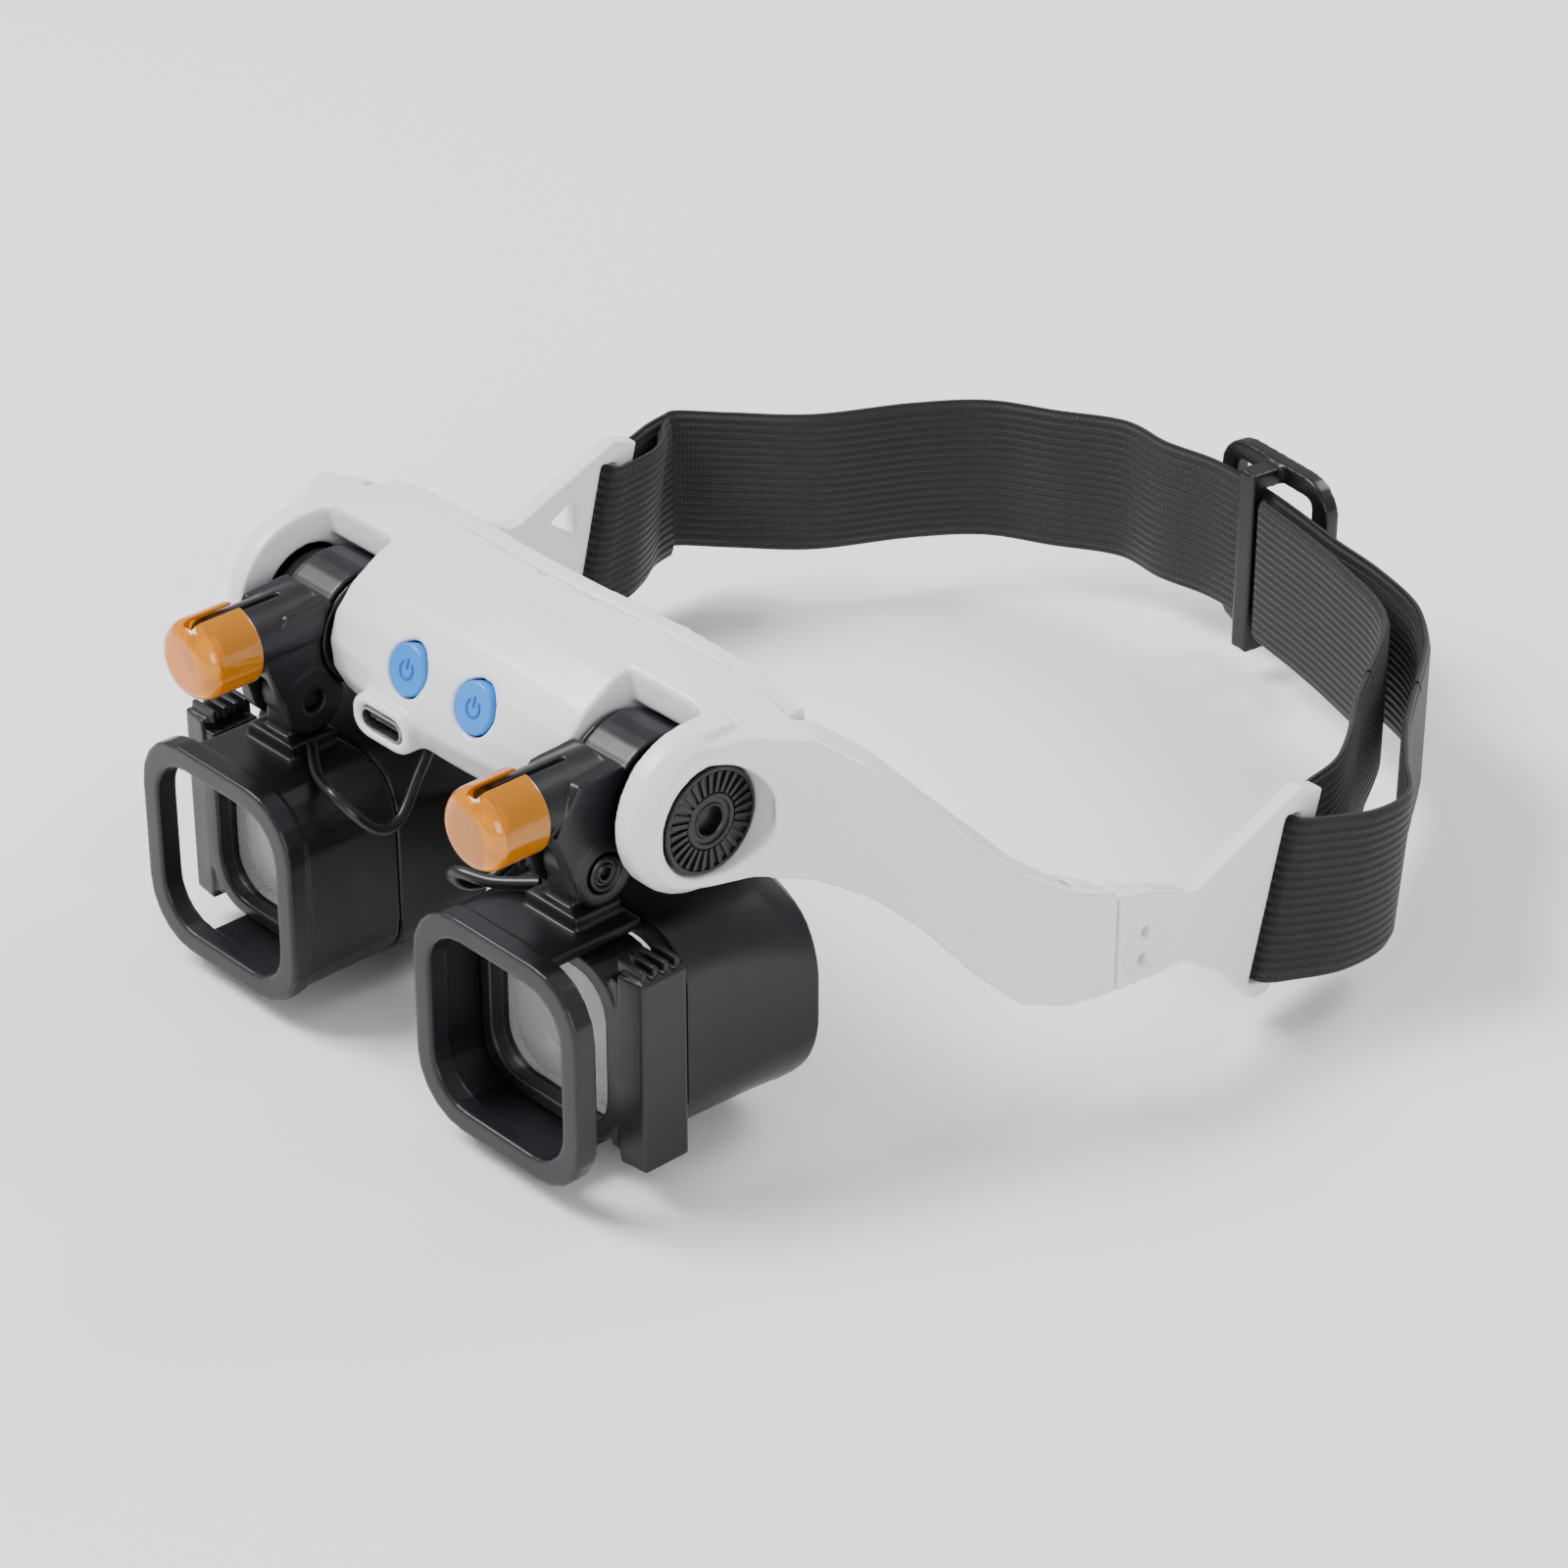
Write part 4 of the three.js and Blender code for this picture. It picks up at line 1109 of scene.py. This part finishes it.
@dataclass
class Eyepiece:
    """The hood, the eyecup and the lens in its slide-in frame."""

    side: Side
    centre_x: float = 32.0
    centre_z: float = -33.2
    lens_half: float = 13.2
    lens_corner: float = 6.3

    def build(self) -> None:
        """Makes the eyepiece's pieces."""
        label = self.side.label
        Casting(f"barrel_{label}", CHARCOAL, 0.28, 14, 70000).pour()
        self.eyecup()
        Casting(f"lens_frame_{label}", CHARCOAL, 0.26, 9, 50000).pour()
        self.lens()

    def cup_ring(self, grow: float, along: float, depth: float | None = None,
                 lift: float = 0.0) -> list[Vector]:
        """One ring of the eyecup's skin.

        Args:
            grow: how far it lies outside the hood's outline, in millimetres.
            along: where it lies, from 0 at the hood to 1 at the rim.
            depth: a flat ring's place along y; without it the ring slants towards the temple.
            lift: how far it lies short of the slanted place.

        Returns:
            Its points, in metres in the object's frame.
        """
        half = 17.2 + grow
        outline = round_rect(2 * half, 2 * half - 0.9 * grow, 8.5 + grow + 4.4 * along * along,
                             self.centre_x + 0.15 * grow, self.centre_z)
        points = []
        for x, z in outline:
            slant = min(1.0, max(0.0, (x - 14.0) / 36.0))
            reach = (9.0 + 6.3) * (1 - slant) + (15.6 + 6.3) * slant
            y = -6.3 + reach * along - lift if depth is None else depth
            points.append(place(self.side.value * x, y, z))
        return points

    def eyecup(self) -> None:
        """The flared cup towards the eye, with a rolled rim and a shallow bead behind it."""
        label, sign = self.side.label, self.side.value
        window = [[place(sign * x, y, z)
                   for x, z in round_rect(side, side, 7.0, self.centre_x, self.centre_z)]
                  for side, y in ((26.6, -6.3), (26.0, -6.0), (26.0, -4.5), (26.6, -4.2))]
        rings = [window[3], window[2], window[1], window[0], self.cup_ring(-0.35, 0.0, -6.3),
                 self.cup_ring(-0.05, 0.0, -6.05)]
        steps = 18
        for i in range(1, steps):
            t = i / steps
            bead = 0.22 * max(0.0, 1 - abs(t - 0.9) / 0.05)
            rings.append(self.cup_ring(3.4 * t * t + bead - 0.05, t))
        rings += [self.cup_ring(3.32, 1.0, None, 0.75), self.cup_ring(3.28, 1.0, None, 0.35),
                  self.cup_ring(3.0, 1.0, None, 0.08), self.cup_ring(2.5, 1.0),
                  self.cup_ring(2.0, 1.0, None, 0.08),
                  self.cup_ring(1.72, 1.0, None, 0.35), self.cup_ring(1.6, 1.0, None, 0.75)]
        for i in range(steps - 1, 2, -1):
            t = i / steps
            rings.append(self.cup_ring(3.4 * t * t - 1.8, t))
        rings.append(self.cup_ring(-1.9, 0.0, -3.9))
        rings.append(self.cup_ring(-2.3, 0.0, -4.2))
        cup = tunnel(f"eyecup_moulded_{label}", rings, 40.0)
        dress(cup, CHARCOAL)
        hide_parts(f"eyecup_{label}")
        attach(cup, f"eyepiece_{label}")
        LOG.info("eyecup %s", label)

    def outline(self, angle: float) -> float:
        """How far the lens's rounded square reaches from its middle in a direction.

        Args:
            angle: the direction, in radians.

        Returns:
            The distance in millimetres.
        """
        straight, corner = self.lens_half - self.lens_corner, self.lens_corner
        c, s = abs(math.cos(angle)), abs(math.sin(angle))
        reach = self.lens_half / max(c, s)
        if min(c, s) * reach <= straight:
            return reach
        b = straight * (c + s)
        return b + math.sqrt(max(0.0, b * b - 2 * straight * straight + corner * corner))

    def lens(self) -> None:
        """A clear lens, thicker in the middle."""
        sign, label = self.side.value, self.side.label
        rings, steps = 14, 72
        points: list[Vector] = []
        faces: list[tuple[int, ...]] = []
        for face_sign, middle, rim in ((-1, -14.55, -13.6), (1, -11.45, -12.4)):
            start = len(points)
            points.append(place(sign * self.centre_x, middle, self.centre_z))
            for r in range(1, rings + 1):
                t = r / rings
                for i in range(steps):
                    a = 2 * math.pi * i / steps
                    reach = self.outline(a) * t
                    y = middle + (rim - middle) * t * t
                    points.append(place(sign * (self.centre_x + reach * math.cos(a)), y,
                                        self.centre_z + reach * math.sin(a)))
            for i in range(steps):
                j = (i + 1) % steps
                faces.append((start, start + 1 + i, start + 1 + j))
                for r in range(rings - 1):
                    a, b = start + 1 + r * steps, start + 1 + (r + 1) * steps
                    faces.append((a + i, b + i, b + j, a + j))
        front, back = 1 + (rings - 1) * steps, 1 + rings * steps + 1 + (rings - 1) * steps
        for i in range(steps):
            j = (i + 1) % steps
            faces.append((front + i, front + j, back + j, back + i))
        piece = new_piece(f"lens_glass_{label}", points, faces, 25.0)
        dress(piece, CLEAR)
        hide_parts(f"lens_{label}")
        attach(piece, f"cartridge_{label}")
        LOG.info("lens %s", label)


@dataclass
class Strap:
    """The elastic strap, its slider and the two arms that hold it."""

    width: float = 25.5
    thickness: float = 1.5
    height: float = -32.3
    lean: float = 0.25

    def band(self, name: str, route: Sequence[Sequence[float]],
             samples: int) -> tuple[bpy.types.Object, float]:
        """A length of elastic standing on edge along a route.

        Args:
            name: the piece's name.
            route: (x, y, z) or (x, y, z, lean) in drawing millimetres.
            samples: how many steps it takes.

        Returns:
            The piece, and its length in metres.
        """
        columns = 20
        section = []
        for k in range(columns + 1):
            v = -0.5 + k / columns
            edge = min(1.0, (0.5 - abs(v)) * columns / 1.2 + 0.35)
            section.append((v, 0.5 * edge))
        ring = section + [(v, -s) for v, s in reversed(section)]
        path = smooth_path(route, samples)
        points, faces, lengths, run = [], [], [], 0.0
        for i, (at, lean) in enumerate(path):
            if i:
                run += (at - path[i - 1][0]).length
            lengths.append(run)
            ahead = path[min(i + 1, samples)][0] - path[max(i - 1, 0)][0]
            side = Vector((ahead.y, -ahead.x, 0)).normalized()
            for v, s in ring:
                p = at + side * (s * self.thickness)
                points.append(place(p.x, p.y + lean * v * self.width, p.z + v * self.width))
        count = len(ring)
        for i in range(samples):
            for k in range(count):
                m = (k + 1) % count
                faces.append((i * count + k, i * count + m, (i + 1) * count + m, (i + 1) * count + k))
        faces.append(tuple(range(count)))
        faces.append(tuple(samples * count + k for k in range(count)))
        mesh = bpy.data.meshes.new(name)
        mesh.from_pydata([tuple(p) for p in points], [], faces)
        layer = mesh.uv_layers.new(name="UVMap")
        for polygon in mesh.polygons:
            for loop in polygon.loop_indices:
                index = mesh.loops[loop].vertex_index
                i, k = divmod(index, count)
                layer.data[loop].uv = (lengths[i] * MM, ring[k][0] * self.width * MM)
        piece = bpy.data.objects.new(name, mesh)
        bpy.context.scene.collection.objects.link(piece)
        work = bmesh.new()
        work.from_mesh(mesh)
        bmesh.ops.recalc_face_normals(work, faces=work.faces)
        work.to_mesh(mesh)
        work.free()
        soften(piece, 50.0)
        dress(piece, ELASTIC)
        return piece, run * MM

    def level(self, route: Sequence[tuple[float, float]]) -> list[tuple[float, float, float]]:
        """A plan route at the strap's usual height."""
        return [(x, y, self.height) for x, y in route]

    def declare(self, piece: bpy.types.Object, length: float) -> None:
        """Logs a strap piece's length."""
        LOG.info("%s is %.0f mm long", piece.name, length * 1000)

    def build(self) -> None:
        """Makes the strap's four lengths, the slider, the arms and the stitching."""
        bar = self.lean
        back = [(-81.25, 104.9), (-80.2, 107.0), (-73.6, 113.0), (-64.0, 122.6),
                (-56.0, 137.6), (-48.2, 147.8),
                (-37.6, 153.6), (-27.0, 159.4), (-17.0, 158.8), (-6.6, 160.0), (5.0, 158.6), (15.0, 156.4),
                (26.0, 153.4), (36.4, 151.2), (48.2, 146.9), (56.2, 140.2), (60.2, 135.2), (64.9, 128.2)]
        piece, length = self.band("elastic_back", self.level(back), 170)
        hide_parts("strap_back")
        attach(piece, "frame")
        self.declare(piece, length)
        fold = [(8.4, 154.9), (10.6, 154.2), (20.4, 151.6), (31.0, 148.2),
                (44.0, 143.0), (50.6, 137.0), (57.6, 125.4)]
        piece, length = self.band("elastic_return", self.level(fold), 70)
        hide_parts("strap_return")
        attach(piece, "frame")
        self.declare(piece, length)
        left = [(-81.2, 104.9, -32.4), (-80.6, 98.6, -32.6, 0.1),
                (-79.3, 91.4, -33.0, bar), (-79.2, 86.2, -33.6, bar),
                (-79.0, 84.5, -33.8, bar), (-77.9, 83.5, -33.8, bar), (-74.6, 83.5, -33.8, bar),
                (-73.5, 84.7, -33.8, bar), (-73.4, 86.6, -33.6, bar), (-73.3, 91.6, -33.0, bar),
                (-75.4, 96.4, -32.8, 0.2), (-78.2, 100.0, -32.6, 0.1), (-79.3, 103.4, -32.6)]
        piece, length = self.band("elastic_loop_left", left, 150)
        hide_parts("strap_loop_left")
        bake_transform(piece)
        self.declare(piece, length)
        right = [(64.9, 128.2, -32.6), (71.4, 118.6, -32.9), (78.4, 109.8, -33.2, 0.05),
                 (84.2, 102.8, -33.6, 0.12), (84.4, 94.4, -33.8, 0.2), (80.8, 86.8, -33.8, bar),
                 (79.4, 84.5, -33.8, bar), (77.9, 83.5, -33.8, bar), (74.6, 83.5, -33.8, bar),
                 (73.2, 84.8, -33.8, bar), (72.9, 87.0, -33.8, bar), (72.0, 93.4, -33.8, 0.2),
                 (70.8, 102.0, -33.6, 0.12), (66.8, 110.6, -33.2, 0.05),
                 (61.6, 118.4, -32.8), (57.6, 125.4, -32.6)]
        piece, length = self.band("elastic_loop_right", right, 190)
        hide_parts("strap_loop_right")
        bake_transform(piece)
        self.declare(piece, length)
        Casting("strap_slider", HUB_BLACK, 0.32, 8, 26000).pour()
        for side in Side:
            Casting(f"strap_arm_{side.label}", WHITE, 0.34, 18, 50000).pour()
        self.stitches()

    def stitches(self) -> None:
        """The close column of stitches that closes the loop on the left arm."""
        thread = Repeater("loop_stitches", Detail.STITCH, (1.7, 0.55, 0.5), THREAD)
        for column, y in enumerate((100.6, 101.5)):
            for i in range(22):
                v = -0.46 + 0.92 * (i + 0.5 * column) / 22
                at = place(-81.75 + 0.03 * (y - 100), y + 0.07 * v * self.width,
                           self.height - 0.2 + v * self.width)
                thread.put(at, Vector((-1, 0, 0)), Vector((0, 0.5, 1)))
        sewn = thread.build()
        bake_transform(sewn)


def main() -> None:
    """Builds every sub-assembly in order."""
    logging.basicConfig(level=logging.INFO, format="%(name)s: %(message)s")
    Viewpoint().build()
    for side in Side:
        LampLead(side).build()
    BrowHousing().build()
    for side in Side:
        SpacingKnob(side).build()
        LampUnit(side).build()
        Eyepiece(side).build()
    Strap().build()


if __name__ == "__main__":
    main()
